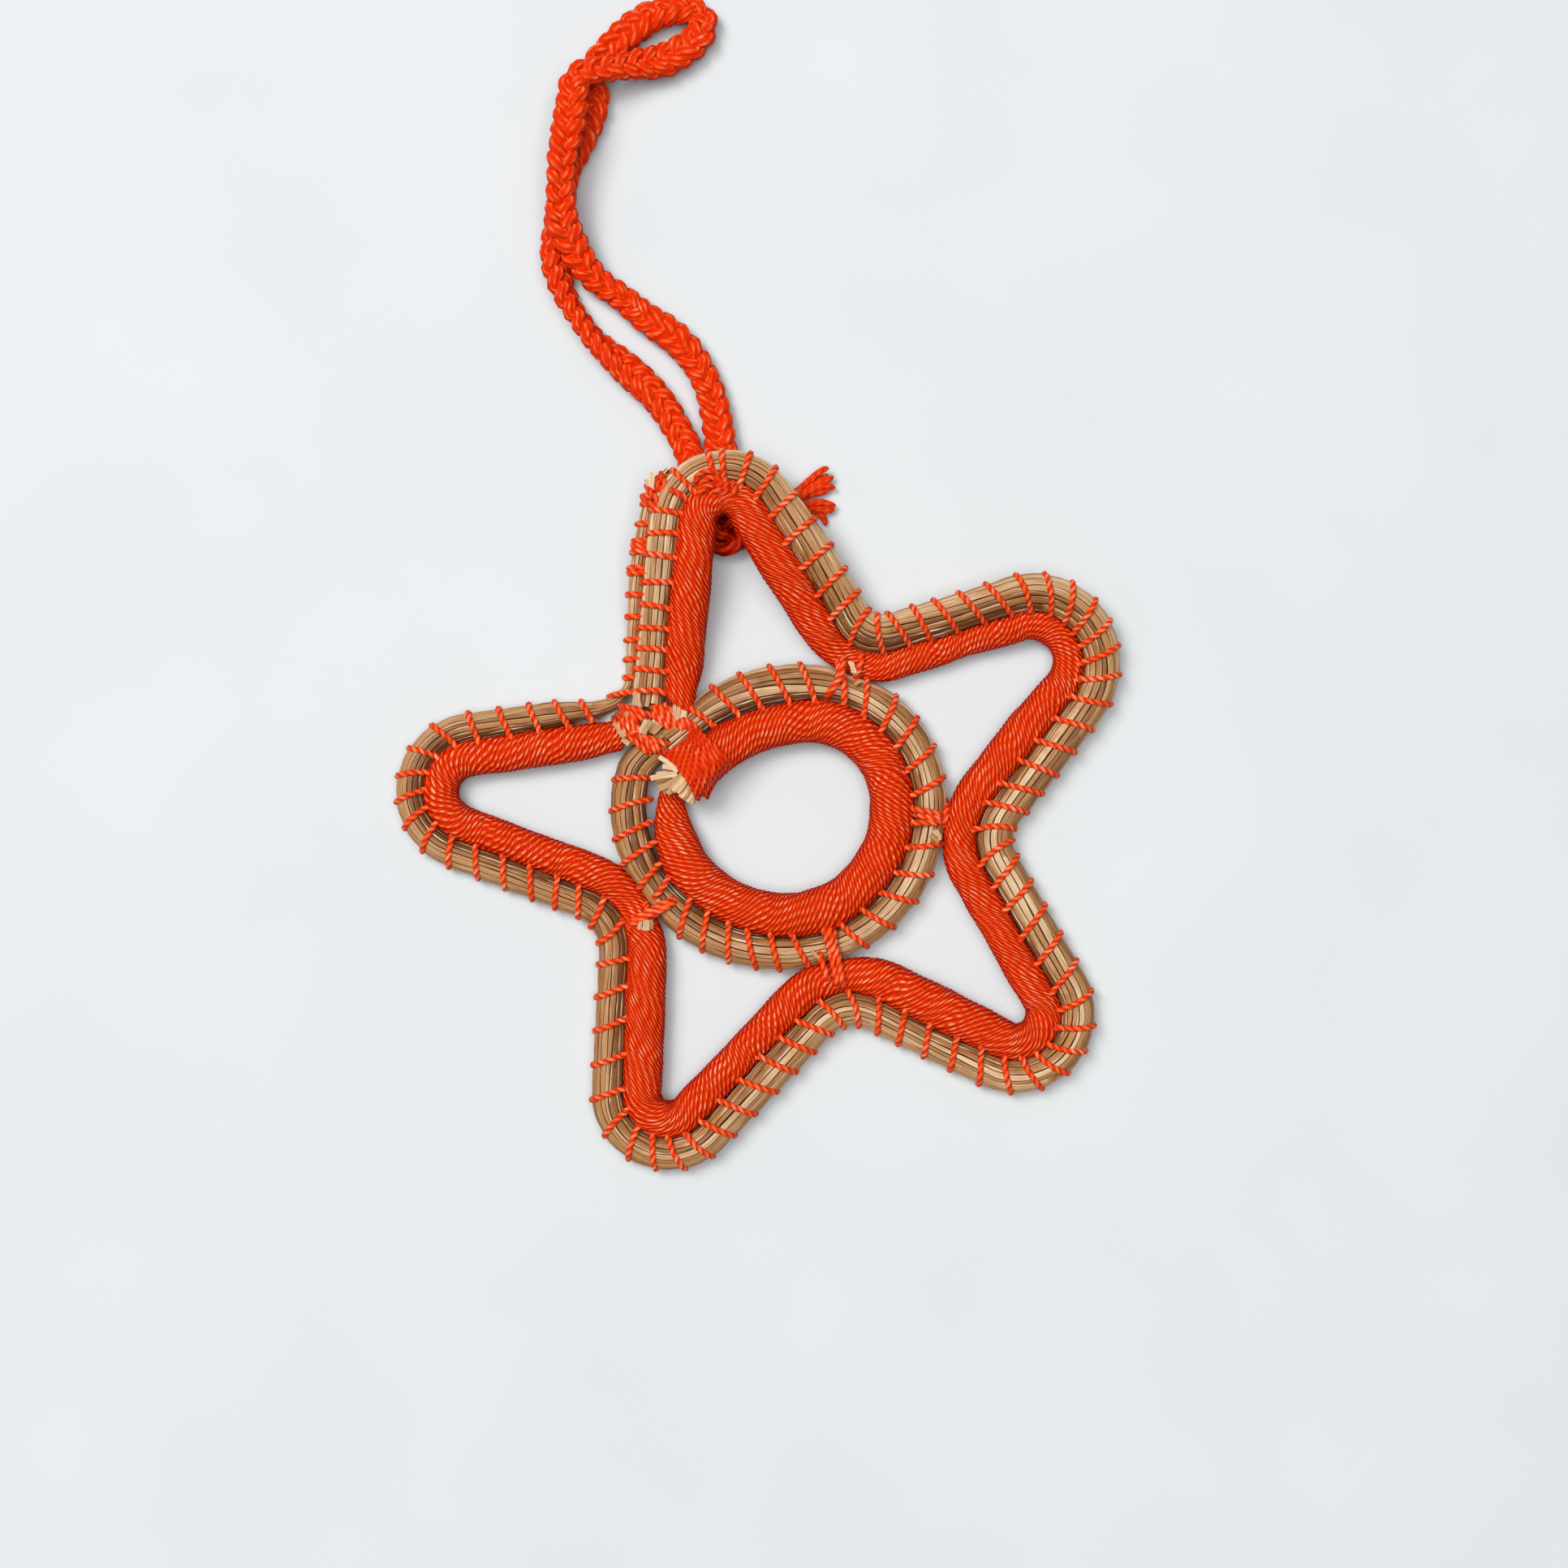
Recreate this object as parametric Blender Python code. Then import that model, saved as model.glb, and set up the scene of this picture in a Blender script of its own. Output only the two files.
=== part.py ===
"""A star of coiled pine needles with a ring at its middle, bound with coral thread, and the cord it hangs by.

Each coil is a long bundle of needles laid round in two turns. The inner turn is wrapped closely with
thread. The outer turn is bare needles, sewn to the turn inside it by spaced, leaning stitches.
The ornament lies on its back on the ground, face up, as it would on a table.
"""
import math

import bmesh
import bpy
import numpy as np

for old in list(bpy.data.objects):
    bpy.data.objects.remove(old)

# Driving dimensions, in metres
MM = 0.001
GAP = 0.3 * MM
THREAD_RISE = 0.7 * MM
STITCH_HALF_WIDTH = 0.75 * MM
STITCH_LEAN = math.radians(20)

# Bundles of the ring and of the star, by radius over the thread or over the needles
RING_WRAPPED_RADIUS = 3.75 * MM
RING_NEEDLE_RADIUS = 2.75 * MM
STAR_WRAPPED_RADIUS = 3.30 * MM
STAR_NEEDLE_RADIUS = 2.70 * MM

# The middle line of the ring's wrapped turn: its mean radius, and its shares of that every 30 degrees,
# clockwise from where the turn starts at the upper left
RING_RADIUS = 17.6 * MM
RING_SHARES = (0.892, 0.858, 0.898, 1.034, 1.108, 1.078, 1.028, 0.989, 0.955, 0.960, 1.017, 1.068, 1.131)
RING_START_ANGLE = 159.0
RING_END_ANGLE = -206.0
# How far the start of the wrapped turn is lifted over its tapered end
RING_START_LIFT = 3.0 * MM
# Where the cut needles at that start point to, from the ring's middle
STUB_TIP = (-20.4 * MM, 4.6 * MM)
# The end of the bare turn is drawn in, over the tapered end of the wrapped turn
RING_TUCK_IN = 3.0 * MM
RING_NEEDLE_START_ANGLE = 134.5
RING_NEEDLE_END_ANGLE = -217.5

# The star's wrapped turn runs round ten pegs. Tips, clockwise from the top one:
# direction from the ring's middle in degrees, distance of the peg, and its radius
TIPS = (
    (100.8, 50.9 * MM, 4.8 * MM),
    (31.4, 50.5 * MM, 7.0 * MM),
    (-40.0, 52.9 * MM, 5.0 * MM),
    (-112.1, 51.5 * MM, 4.6 * MM),
    (-184.7, 52.9 * MM, 6.1 * MM),
)
# Valleys between them: direction in degrees, bend radius, and how far the ties pinch the bundles there,
# as a share of their radius. Each valley rests on the ring
VALLEYS = (
    (65.6, 11.1 * MM, 0.20),
    (-5.2, 13.0 * MM, 0.10),
    (-73.2, 14.1 * MM, 0.22),
    (-148.2, 14.6 * MM, 0.25),
)
PINCH_HALF_LENGTH = 4.6 * MM
END_PINCH = 0.22
# The open valley at the upper left, where the star's turns start and end, from the ring's middle
STAR_START = (-17.5 * MM, 20.9 * MM)
STAR_END = (-28.0 * MM, 14.1 * MM)
# How full the bundles are on each of the ten legs, as shares of their radius
WRAPPED_FULLNESS = (1.10, 1.06, 0.84, 1.04, 1.04, 1.14, 0.90, 0.97, 0.94, 1.02)
NEEDLE_FULLNESS = (0.74, 1.12, 1.07, 1.07, 1.07, 0.87, 1.08, 1.00, 0.90, 0.82)
# The bare turn is drawn thinner round the tip of the top arm
TIP_THINNING = 0.14
TIP_THINNING_HALF_LENGTH = 8.0 * MM

# The last stretch of the bare turn, a third coil up the left side of the top arm
THIRD_COIL_RADIUS = 1.60 * MM
THIRD_COIL_END_RADIUS = 0.95 * MM
# It stops this far short of the middle of the tip
THIRD_COIL_SHORT = 2.4 * MM

# Stitches on each leg of the star's bare turn, closer together by this share at the tips and valleys
STITCHES = (10, 9, 10, 10, 9, 9, 10, 8, 10, 8)
CROWDING = 0.15
THIRD_COIL_STITCHES = 8
# Stitches on each stretch of the ring's bare turn between its ties
RING_STITCHES = (5, 5, 5, 6, 5)
RING_STITCHES_END_ANGLE = -199.0
# The close turns of thread that bind the end of the third coil
BINDING_PITCH = 2.0 * MM
BINDING_LENGTH = 9.0 * MM

# The top arm is held up off the ground by the cord that passes beneath its tip
TIP_LIFT = 5.6 * MM
LIFT_FROM = 21.0 * MM
LIFT_TO = 51.0 * MM

# Thread ties: the direction and distance of each one's middle from the ring's middle, the direction it
# runs in, its length and its width. The first four are in the valleys, the rest over the ends of the turns
TIES = (
    (66.0, 25.4 * MM, -106.7, 8.7 * MM, 4.4 * MM),
    (0.6, 25.7 * MM, -175.0, 8.4 * MM, 3.0 * MM),
    (-70.5, 26.0 * MM, 116.0, 10.0 * MM, 3.6 * MM),
    (-145.0, 26.6 * MM, 13.7, 9.4 * MM, 3.6 * MM),
    (149.4, 27.5 * MM, -33.7, 10.6 * MM, 2.6 * MM),
    (136.9, 23.8 * MM, -26.9, 9.4 * MM, 2.8 * MM),
)
TIE_THICKNESS = 1.2 * MM
RING_TIE_GAP = 6.0

# Hanging cord
CORD_DIAMETER = 4.8 * MM
TAIL_RADIUS = 1.25 * MM

SIDES = 8
FLAT_TO_CORNER = 1 / math.cos(math.pi / SIDES)

collection = bpy.data.collections.new("pine_needle_star_ornament")
bpy.context.scene.collection.children.link(collection)


def material(name, colour, roughness):
    """A plain principled material."""
    made = bpy.data.materials.new(name)
    made.use_nodes = True
    shader = made.node_tree.nodes["Principled BSDF"]
    shader.inputs["Base Color"].default_value = (*colour, 1)
    shader.inputs["Roughness"].default_value = roughness
    return made


coral_thread = material("coral_thread", (0.80, 0.07, 0.02), 0.5)
coral_cord = material("coral_cord", (0.78, 0.06, 0.02), 0.55)
dry_needles = material("dry_needles", (0.46, 0.29, 0.14), 0.6)


def add_mesh(name, mesh, finish):
    """Link a mesh as a named piece, shaded smooth with its hard edges kept."""
    mesh.materials.append(finish)
    mesh.shade_smooth()
    mesh.set_sharp_from_angle(angle=math.radians(50))
    piece = bpy.data.objects.new(name, mesh)
    collection.objects.link(piece)
    return piece


def polar(radius, degrees):
    """The plan point at a distance and a direction from the ring's middle."""
    angle = np.radians(degrees)
    return np.stack([radius * np.cos(angle), radius * np.sin(angle)], axis=-1)


def smooth_step(value):
    """0 below 0, 1 above 1, and an even S between."""
    share = np.clip(value, 0, 1)
    return share * share * (3 - 2 * share)


class Route:
    """A line in plan, walked clockwise, with places and outward normals by distance along it."""

    def __init__(self, points):
        self.points = np.asarray(points, dtype=float)
        steps = np.linalg.norm(np.diff(self.points, axis=0), axis=1)
        self.at = np.concatenate([[0], np.cumsum(steps)])
        self.length = self.at[-1]

    def along(self, distance):
        """The point at a distance, run on straight past either end."""
        distance = np.asarray(distance, dtype=float)
        held = np.clip(distance, 0, self.length)
        point = np.stack([np.interp(held, self.at, self.points[:, axis]) for axis in (0, 1)], axis=-1)
        first = self.points[1] - self.points[0]
        last = self.points[-1] - self.points[-2]
        over = distance - held
        run_on = np.where(over[..., None] < 0, first / np.linalg.norm(first), last / np.linalg.norm(last))
        return point + over[..., None] * run_on

    def outward(self, distance):
        """The unit normal on the left of the walk, which is the outer side."""
        reach = 0.4 * MM
        ahead = self.along(distance + reach) - self.along(distance - reach)
        ahead /= np.linalg.norm(ahead, axis=-1, keepdims=True)
        return np.stack([-ahead[..., 1], ahead[..., 0]], axis=-1)

    def nearest(self, point):
        """The distance along the route of its point nearest to a plan point."""
        away = np.linalg.norm(self.points - np.asarray(point), axis=1)
        return self.at[np.argmin(away)]


def spline_through(points, step):
    """A Catmull-Rom curve through a short list of points, cut to even steps."""
    points = np.asarray(points, dtype=float)
    before = 2 * points[0] - points[1]
    after = 2 * points[-1] - points[-2]
    held = np.vstack([before, points, after])
    share = np.linspace(0, 1, 40, endpoint=False)[:, None]
    pieces = []
    for a, b, c, d in zip(held[:-3], held[1:-2], held[2:-1], held[3:]):
        pieces.append(0.5 * (2 * b + (c - a) * share + (2 * a - 5 * b + 4 * c - d) * share ** 2
                             + (3 * b - a - 3 * c + d) * share ** 3))
    fine = np.vstack(pieces + [points[-1:]])
    at = np.concatenate([[0], np.cumsum(np.linalg.norm(np.diff(fine, axis=0), axis=1))])
    even = np.linspace(0, at[-1], max(2, round(at[-1] / step) + 1))
    return np.stack([np.interp(even, at, fine[:, axis]) for axis in range(fine.shape[1])], axis=-1)


def belt(pegs, step):
    """The line of a belt drawn round pegs: each is a centre and a radius, negative where it turns left.

    Between two pegs the belt leaves along their common tangent. Returns its points and where along it
    each peg's arc has its middle.
    """
    normals = []
    for (centre, radius), (following, following_radius) in zip(pegs[:-1], pegs[1:]):
        run = following - centre
        lean = math.acos((radius - following_radius) / np.linalg.norm(run))
        normals.append(math.atan2(run[1], run[0]) + lean)
    points = [pegs[0][0] + pegs[0][1] * np.array([math.cos(normals[0]), math.sin(normals[0])])]
    middles = []
    for (centre, radius), arriving, leaving in zip(pegs[1:-1], normals[:-1], normals[1:]):
        turn = (leaving - arriving + math.pi) % (2 * math.pi) - math.pi
        if radius > 0 and turn > 0:
            turn -= 2 * math.pi
        count = max(2, round(abs(turn * radius) / step))
        angles = arriving + turn * np.linspace(0, 1, count + 1)
        arc = centre + radius * np.stack([np.cos(angles), np.sin(angles)], axis=-1)
        points.extend(arc)
        middles.append(len(points) - 1 - count // 2)
    points.append(pegs[-1][0] + pegs[-1][1] * np.array([math.cos(normals[-1]), math.sin(normals[-1])]))
    corners = np.array(points)
    at = np.concatenate([[0], np.cumsum(np.linalg.norm(np.diff(corners, axis=0), axis=1))])
    even = np.linspace(0, at[-1], round(at[-1] / step) + 1)
    line = np.stack([np.interp(even, at, corners[:, axis]) for axis in (0, 1)], axis=-1)
    return line, at[middles]


# Routes of the four turns, about the ring's middle

FINE = 0.25 * MM

ring_angles = 150 - 30.0 * np.arange(len(RING_SHARES))
walk_angles = np.arange(RING_START_ANGLE, RING_END_ANGLE, -1.0)


def ring_radius_at(angle):
    """The radius of the ring's wrapped turn at an angle, smooth through its shares."""
    table = spline_through(np.stack([-ring_angles, np.array(RING_SHARES)], axis=-1), 0.5)
    return RING_RADIUS * np.interp(-np.asarray(angle), table[:, 0], table[:, 1])


ring_wrapped_route = Route(polar(ring_radius_at(walk_angles), walk_angles))
ring_contact = RING_WRAPPED_RADIUS + GAP + RING_NEEDLE_RADIUS
bare_angles = np.arange(RING_NEEDLE_START_ANGLE, RING_NEEDLE_END_ANGLE, -1.0)


def bare_ring_radius_at(angle):
    """The radius of the ring's bare turn, lying against the outside of the wrapped turn."""
    tuck_in = RING_TUCK_IN * smooth_step((RING_NEEDLE_END_ANGLE + 22 - np.asarray(angle)) / 22)
    return ring_radius_at(angle) + ring_contact - tuck_in


ring_needle_route = Route(polar(bare_ring_radius_at(bare_angles), bare_angles))


def star_pegs():
    """The pegs of the star's wrapped turn: a start, five tips with four valleys between, and an end."""
    pegs = [(np.array(STAR_START), 0.0)]
    for index, (direction, reach, radius) in enumerate(TIPS):
        pegs.append((polar(reach, direction), radius))
        if index < len(VALLEYS):
            valley_direction, bend, drawn_in = VALLEYS[index]
            contact = (1 - drawn_in) * (RING_NEEDLE_RADIUS + STAR_WRAPPED_RADIUS) + 1.6 * GAP
            rest = bare_ring_radius_at(valley_direction) + contact
            pegs.append((polar(rest + bend, valley_direction), -bend))
    pegs.append((np.array(STAR_END), 0.0))
    return pegs


star_line, star_middles = belt(star_pegs(), FINE)
star_wrapped_route = Route(star_line)
valley_middles = star_middles[1::2]
leg_marks = np.concatenate([[0], star_middles, [star_wrapped_route.length]])
leg_middles = (leg_marks[:-1] + leg_marks[1:]) / 2


valley_pinches = [valley[2] for valley in VALLEYS]


def pinch(distance, places, amounts):
    """1 along a bundle, and less where the ties draw it in."""
    share = np.ones_like(np.asarray(distance, dtype=float))
    for place, amount in zip(places, amounts):
        share = share - amount * np.exp(-((distance - place) / PINCH_HALF_LENGTH) ** 2)
    return share


def star_wrapped_radius(distance):
    """The radius of the star's wrapped turn at a distance along it."""
    full = STAR_WRAPPED_RADIUS * np.interp(distance, leg_middles, WRAPPED_FULLNESS)
    places = [0.0, *valley_middles, star_wrapped_route.length]
    return full * pinch(distance, places, [END_PINCH, *valley_pinches, END_PINCH])


def star_needle_radius(distance):
    """The radius of the bare turn beside that distance of the wrapped turn."""
    full = STAR_NEEDLE_RADIUS * np.interp(distance, leg_middles, NEEDLE_FULLNESS)
    from_tip = (distance - star_middles[0]) / TIP_THINNING_HALF_LENGTH
    return full * (1 - TIP_THINNING * np.exp(-from_tip ** 2))


def unpinched_wrapped_radius(distance):
    """The same turn's radius with no ties, which the bare turn lies against."""
    return STAR_WRAPPED_RADIUS * np.interp(distance, leg_middles, WRAPPED_FULLNESS)


# The bare turn leaves the end of the wrapped turn, goes once round outside it, and runs on up the
# first leg as a third coil
round_from = 2.5 * MM
round_to = star_wrapped_route.length - 2.8 * MM
round_at = np.arange(round_from, round_to, FINE)
stand_off = unpinched_wrapped_radius(round_at) + GAP + star_needle_radius(round_at)
round_line = star_wrapped_route.along(round_at) + stand_off[:, None] * star_wrapped_route.outward(round_at)

third_from = 2.2 * MM
third_to = star_middles[0] - THIRD_COIL_SHORT
third_at = np.arange(third_from, third_to, FINE)
third_radius = np.interp(third_at, [third_from, third_to], [THIRD_COIL_RADIUS, THIRD_COIL_END_RADIUS])
third_stand = (unpinched_wrapped_radius(third_at) + 2 * star_needle_radius(third_at) + 2 * GAP
               + third_radius)
third_line = star_wrapped_route.along(third_at) + third_stand[:, None] * star_wrapped_route.outward(third_at)


def bend_between(start, start_way, end, end_way, step):
    """A cubic bend that leaves one point in one direction and reaches another in its own."""
    pull = 0.4 * np.linalg.norm(end - start)
    controls = (start, start + pull * start_way, end - pull * end_way, end)
    share = np.linspace(0, 1, max(3, round(np.linalg.norm(end - start) / step)))[:, None]
    weights = ((1 - share) ** 3, 3 * share * (1 - share) ** 2, 3 * share ** 2 * (1 - share), share ** 3)
    return sum(weight * control for weight, control in zip(weights, controls))


def way(line, index):
    """The unit direction of a line at one of its ends."""
    run = line[index + 1] - line[index] if index >= 0 else line[index] - line[index - 1]
    return run / np.linalg.norm(run)


lead_start = np.array(STAR_END) + way(star_line, -1) * (GAP + 0.4 * MM)
lead_in = bend_between(lead_start, way(star_line, -1), round_line[0], way(round_line, 0), FINE)
turn_up = bend_between(round_line[-1], way(round_line, -1), third_line[0], way(third_line, 0), FINE)
bare_points = np.vstack([lead_in[:-1], round_line, turn_up[1:-1], third_line])
star_needle_route = Route(bare_points)
round_marks = star_needle_route.at[len(lead_in) - 1:len(lead_in) - 1 + len(round_line)]
lead_length, round_end = round_marks[0], round_marks[-1]
third_start = star_needle_route.at[len(bare_points) - len(third_line)]


def bare_star_radius(distance):
    """The radius of the star's bare turn at a distance along its own route."""
    full = star_needle_radius(np.interp(distance, round_marks, round_at))
    last = np.interp(distance, [third_start, star_needle_route.length],
                     [THIRD_COIL_RADIUS, THIRD_COIL_END_RADIUS])
    share = smooth_step((distance - round_end) / (third_start - round_end))
    start_share = 0.7 + 0.3 * smooth_step(distance / (2 * lead_length))
    return (full * (1 - share) + last * share) * start_share


# The whole model is set with the middle of the star's outline over the origin
outline_at = np.arange(0, star_needle_route.length, MM)
rim = star_needle_route.along(outline_at) + bare_star_radius(outline_at)[:, None] * \
    star_needle_route.outward(outline_at)
SHIFT = -(rim.min(axis=0) + rim.max(axis=0)) / 2


def lift(plan):
    """How far the top arm is raised off the ground at a plan point of the set model."""
    return TIP_LIFT * smooth_step((plan[..., 1] - LIFT_FROM) / (LIFT_TO - LIFT_FROM))


section_angles = np.radians(180 / SIDES + 360 / SIDES * np.arange(SIDES))
# A stitch stands out over the top and the outer side of a bundle, not against the turn inside it
over_outside = np.clip(np.array([1.0, 1.0, 1.0, 0.0, 0.0, 0.0, 0.0, 0.5]), 0, 1)
over_top = np.array([0.0, 1.0, 1.0, 0.0, 0.0, 0.0, 0.0, 0.0])


def loft(name, route, stations, radii, levels, finish, bumps=None, weights=None, lean=0.0):
    """A closed bundle: eight-sided sections square to a route, with stitches standing out as bumps.

    A corner at angle a lies radius * cos(a) out from the route and radius * sin(a) above its level.
    Sections are sheared along the route by the lean of the stitches.
    """
    stations = np.asarray(stations, dtype=float)
    if bumps is None:
        bumps = np.zeros(len(stations))
        weights = np.zeros((len(stations), SIDES))
    corner = (radii * FLAT_TO_CORNER)[:, None] + bumps[:, None] * weights
    out = corner * np.cos(section_angles)
    up = corner * np.sin(section_angles)
    inner = slice(1, -1)
    shear = np.zeros_like(out)
    shear[inner] = -math.tan(lean) * out[inner]
    place = stations[:, None] + shear
    plan = route.along(place) + out[..., None] * route.outward(place) + SHIFT
    height = levels[:, None] + up + lift(plan)
    corners = np.concatenate([plan, height[..., None]], axis=-1).reshape(-1, 3)
    rows = len(stations)
    faces = [list(range(SIDES))[::-1], [(rows - 1) * SIDES + side for side in range(SIDES)]]
    for row in range(rows - 1):
        for side in range(SIDES):
            following = (side + 1) % SIDES
            faces.append([row * SIDES + side, row * SIDES + following,
                          (row + 1) * SIDES + following, (row + 1) * SIDES + side])
    mesh = bpy.data.meshes.new(name)
    mesh.from_pydata(corners.tolist(), [], faces)
    return add_mesh(name, mesh, finish)


def stations_by_bend(route, longest, sharpest):
    """Places along a route, closer together where it bends."""
    chosen = [0.0]
    fine = np.arange(0, route.length, FINE)
    normals = route.outward(fine)
    headings = np.unwrap(np.arctan2(normals[:, 1], normals[:, 0]))
    for place, heading in zip(fine, headings):
        turned = abs(heading - np.interp(chosen[-1], fine, headings))
        if place - chosen[-1] >= longest or turned >= sharpest:
            chosen.append(place)
    if route.length - chosen[-1] < MM:
        chosen.pop()
    return np.array(chosen + [route.length])


def spread(start, end, count, crowding=0.0):
    """Places spread over a stretch, closer together at both its ends."""
    share = (np.arange(count) + 0.5) / count
    return start + (end - start) * (share - crowding * np.sin(2 * math.pi * share) / (2 * math.pi))


def needle_turn(name, route, stitches, ties, radius_at, finish, hidden_to=0.0):
    """A bare turn with its stitches, and plain sections at the ties and ends.

    Where another bundle lies against its outer side the stitches stand out over the top alone.
    """
    plain = [0.0, 0.35 * MM, route.length - 0.35 * MM, route.length]
    for place in ties:
        plain += [place - PINCH_HALF_LENGTH, place, place + PINCH_HALF_LENGTH]
    stations = [(place, 0.0) for place in plain]
    for place in stitches:
        stations += [(place - STITCH_HALF_WIDTH, 0.0), (place, THREAD_RISE), (place + STITCH_HALF_WIDTH, 0.0)]
    stations = np.array(sorted(stations))
    at, bumps = stations[:, 0], stations[:, 1]
    radii = radius_at(at)
    radii[[0, -1]] *= 0.6
    against = at < hidden_to
    for place in ties:
        against |= abs(at - place) < 1.6 * PINCH_HALF_LENGTH
    weights = np.where(against[:, None], over_top, over_outside)
    return loft(name, route, at, radii, radius_at(at), finish, bumps, weights, STITCH_LEAN)


# The ring's wrapped turn, its start lifted over its own tapered end


def ring_wrapped_radius(distance):
    """The radius of the ring's wrapped turn: a little less at its start, tapering over its end."""
    taper_length = 14 * MM
    from_end = distance - ring_wrapped_route.length + taper_length
    tapered = 1 - 0.60 * smooth_step(from_end / taper_length)
    return RING_WRAPPED_RADIUS * tapered * (0.84 + 0.16 * smooth_step(distance / (10 * MM)))


def ring_wrapped_level(distance):
    """The height of the middle of the ring's wrapped turn, raised where it starts."""
    raised = RING_START_LIFT * (1 - smooth_step(distance / (16 * MM)))
    return ring_wrapped_radius(distance) + raised


def ring_wrapped_turn():
    """The closely wrapped inner turn of the ring."""
    at = stations_by_bend(ring_wrapped_route, 6 * MM, math.radians(20))
    radii = ring_wrapped_radius(at)
    radii[[0, -1]] *= 0.8
    return loft("ring_wrapped_turn", ring_wrapped_route, at, radii, ring_wrapped_level(at), coral_thread)


def ring_needle_stub():
    """The cut needle ends that stick out of the start of the ring's wrapped turn."""
    start_radius = float(ring_wrapped_radius(0.0))
    back = -way(ring_wrapped_route.points, 0)
    mouth = ring_wrapped_route.points[0] + back * 3 * GAP
    tip = np.array(STUB_TIP)
    route = Route(spline_through([mouth, mouth + 0.3 * np.linalg.norm(tip - mouth) * back, tip], FINE))
    at = np.array([0.0, 0.35, 0.75, 1.0]) * route.length
    radii = start_radius * np.array([0.60, 0.66, 0.72, 0.50])
    levels = start_radius + RING_START_LIFT + MM * np.array([0.2, 0.8, 1.4, 1.6])
    return loft("ring_needle_stub", route, at, radii, levels, dry_needles)


def valley_point(index):
    """The plan point where the star's wrapped turn rests on the ring in one valley."""
    return star_wrapped_route.along(valley_middles[index])


ring_pinch_places = [ring_needle_route.nearest(valley_point(index)) for index in range(len(VALLEYS))]


def ring_radius_along(distance):
    """The radius of the ring's bare turn, pinched at the ties and drawn in at both ends."""
    places = [0.0, *ring_pinch_places, ring_needle_route.length]
    return RING_NEEDLE_RADIUS * pinch(distance, places, [END_PINCH, *valley_pinches, END_PINCH])


def ring_stitches():
    """Where the ring's stitches lie, evenly spread between its start, its ties and its end."""
    tie_angles = [tie[0] for tie in TIES[:len(VALLEYS)]]
    starts = [RING_NEEDLE_START_ANGLE] + [angle - RING_TIE_GAP for angle in tie_angles]
    ends = [angle + RING_TIE_GAP for angle in tie_angles] + [RING_STITCHES_END_ANGLE]
    places = []
    for start, end, count in zip(starts, ends, RING_STITCHES):
        angles = spread(start, end, count)
        places += [ring_needle_route.nearest(polar(bare_ring_radius_at(angle), angle)) for angle in angles]
    return places


def ring_needle_turn():
    """The bare outer turn of the ring."""
    return needle_turn("ring_needle_turn", ring_needle_route, ring_stitches(), ring_pinch_places,
                       ring_radius_along, dry_needles)


def star_wrapped_turn():
    """The closely wrapped inner turn of the star."""
    at = stations_by_bend(star_wrapped_route, 11 * MM, math.radians(17))
    radii = star_wrapped_radius(at)
    ends = radii.copy()
    ends[[0, -1]] *= 0.85
    return loft("star_wrapped_turn", star_wrapped_route, at, ends, radii, coral_thread)


def star_stitches():
    """Where the star's stitches lie: so many on each leg, then on the third coil and its binding."""
    marks = [lead_length, *np.interp(star_middles, round_at, round_marks), round_end]
    places = []
    for start, end, count in zip(marks[:-1], marks[1:], STITCHES):
        places += list(spread(start, end, count, CROWDING))
    binding_from = star_needle_route.length - BINDING_LENGTH
    places += list(spread(third_start, binding_from, THIRD_COIL_STITCHES))
    return places + list(spread(binding_from, star_needle_route.length, round(BINDING_LENGTH / BINDING_PITCH)))


def star_needle_turn():
    """The bare outer turn of the star, with the third coil that ends bound at the tip."""
    covered = np.interp(third_to, round_at, round_marks)
    return needle_turn("star_needle_turn", star_needle_route, star_stitches(), [], bare_star_radius,
                       dry_needles, covered)


# Thread ties: straps drawn tight over two or more bundles

coils = []


def add_coil(route, radius_at, level_at=None):
    """Note a bundle that straps and threads lie over."""
    at = np.arange(0, route.length, 0.5 * MM)
    radii = radius_at(at)
    levels = radii if level_at is None else level_at(at)
    coils.append((route.along(at), radii * FLAT_TO_CORNER, levels))


def surface_height(plan):
    """The height of the top of the bundles over plan points, or of the ground between them."""
    height = np.zeros(plan.shape[:-1])
    for line, radii, levels in coils:
        away = np.linalg.norm(plan[..., None, :] - line, axis=-1)
        rise = np.sqrt(np.clip((radii + GAP) ** 2 - away ** 2, 0, None))
        over = np.where(rise > 0, levels + rise, 0)
        height = np.maximum(height, over.max(axis=-1))
    return height


def drawn_tight(at, height):
    """The lowest line over a profile that never sags between its own points."""
    tight = height.copy()
    for left in range(len(at)):
        for right in range(left + 2, len(at)):
            between = slice(left + 1, right)
            chord = np.interp(at[between], at[[left, right]], height[[left, right]])
            tight[between] = np.maximum(tight[between], chord)
    return tight


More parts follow.
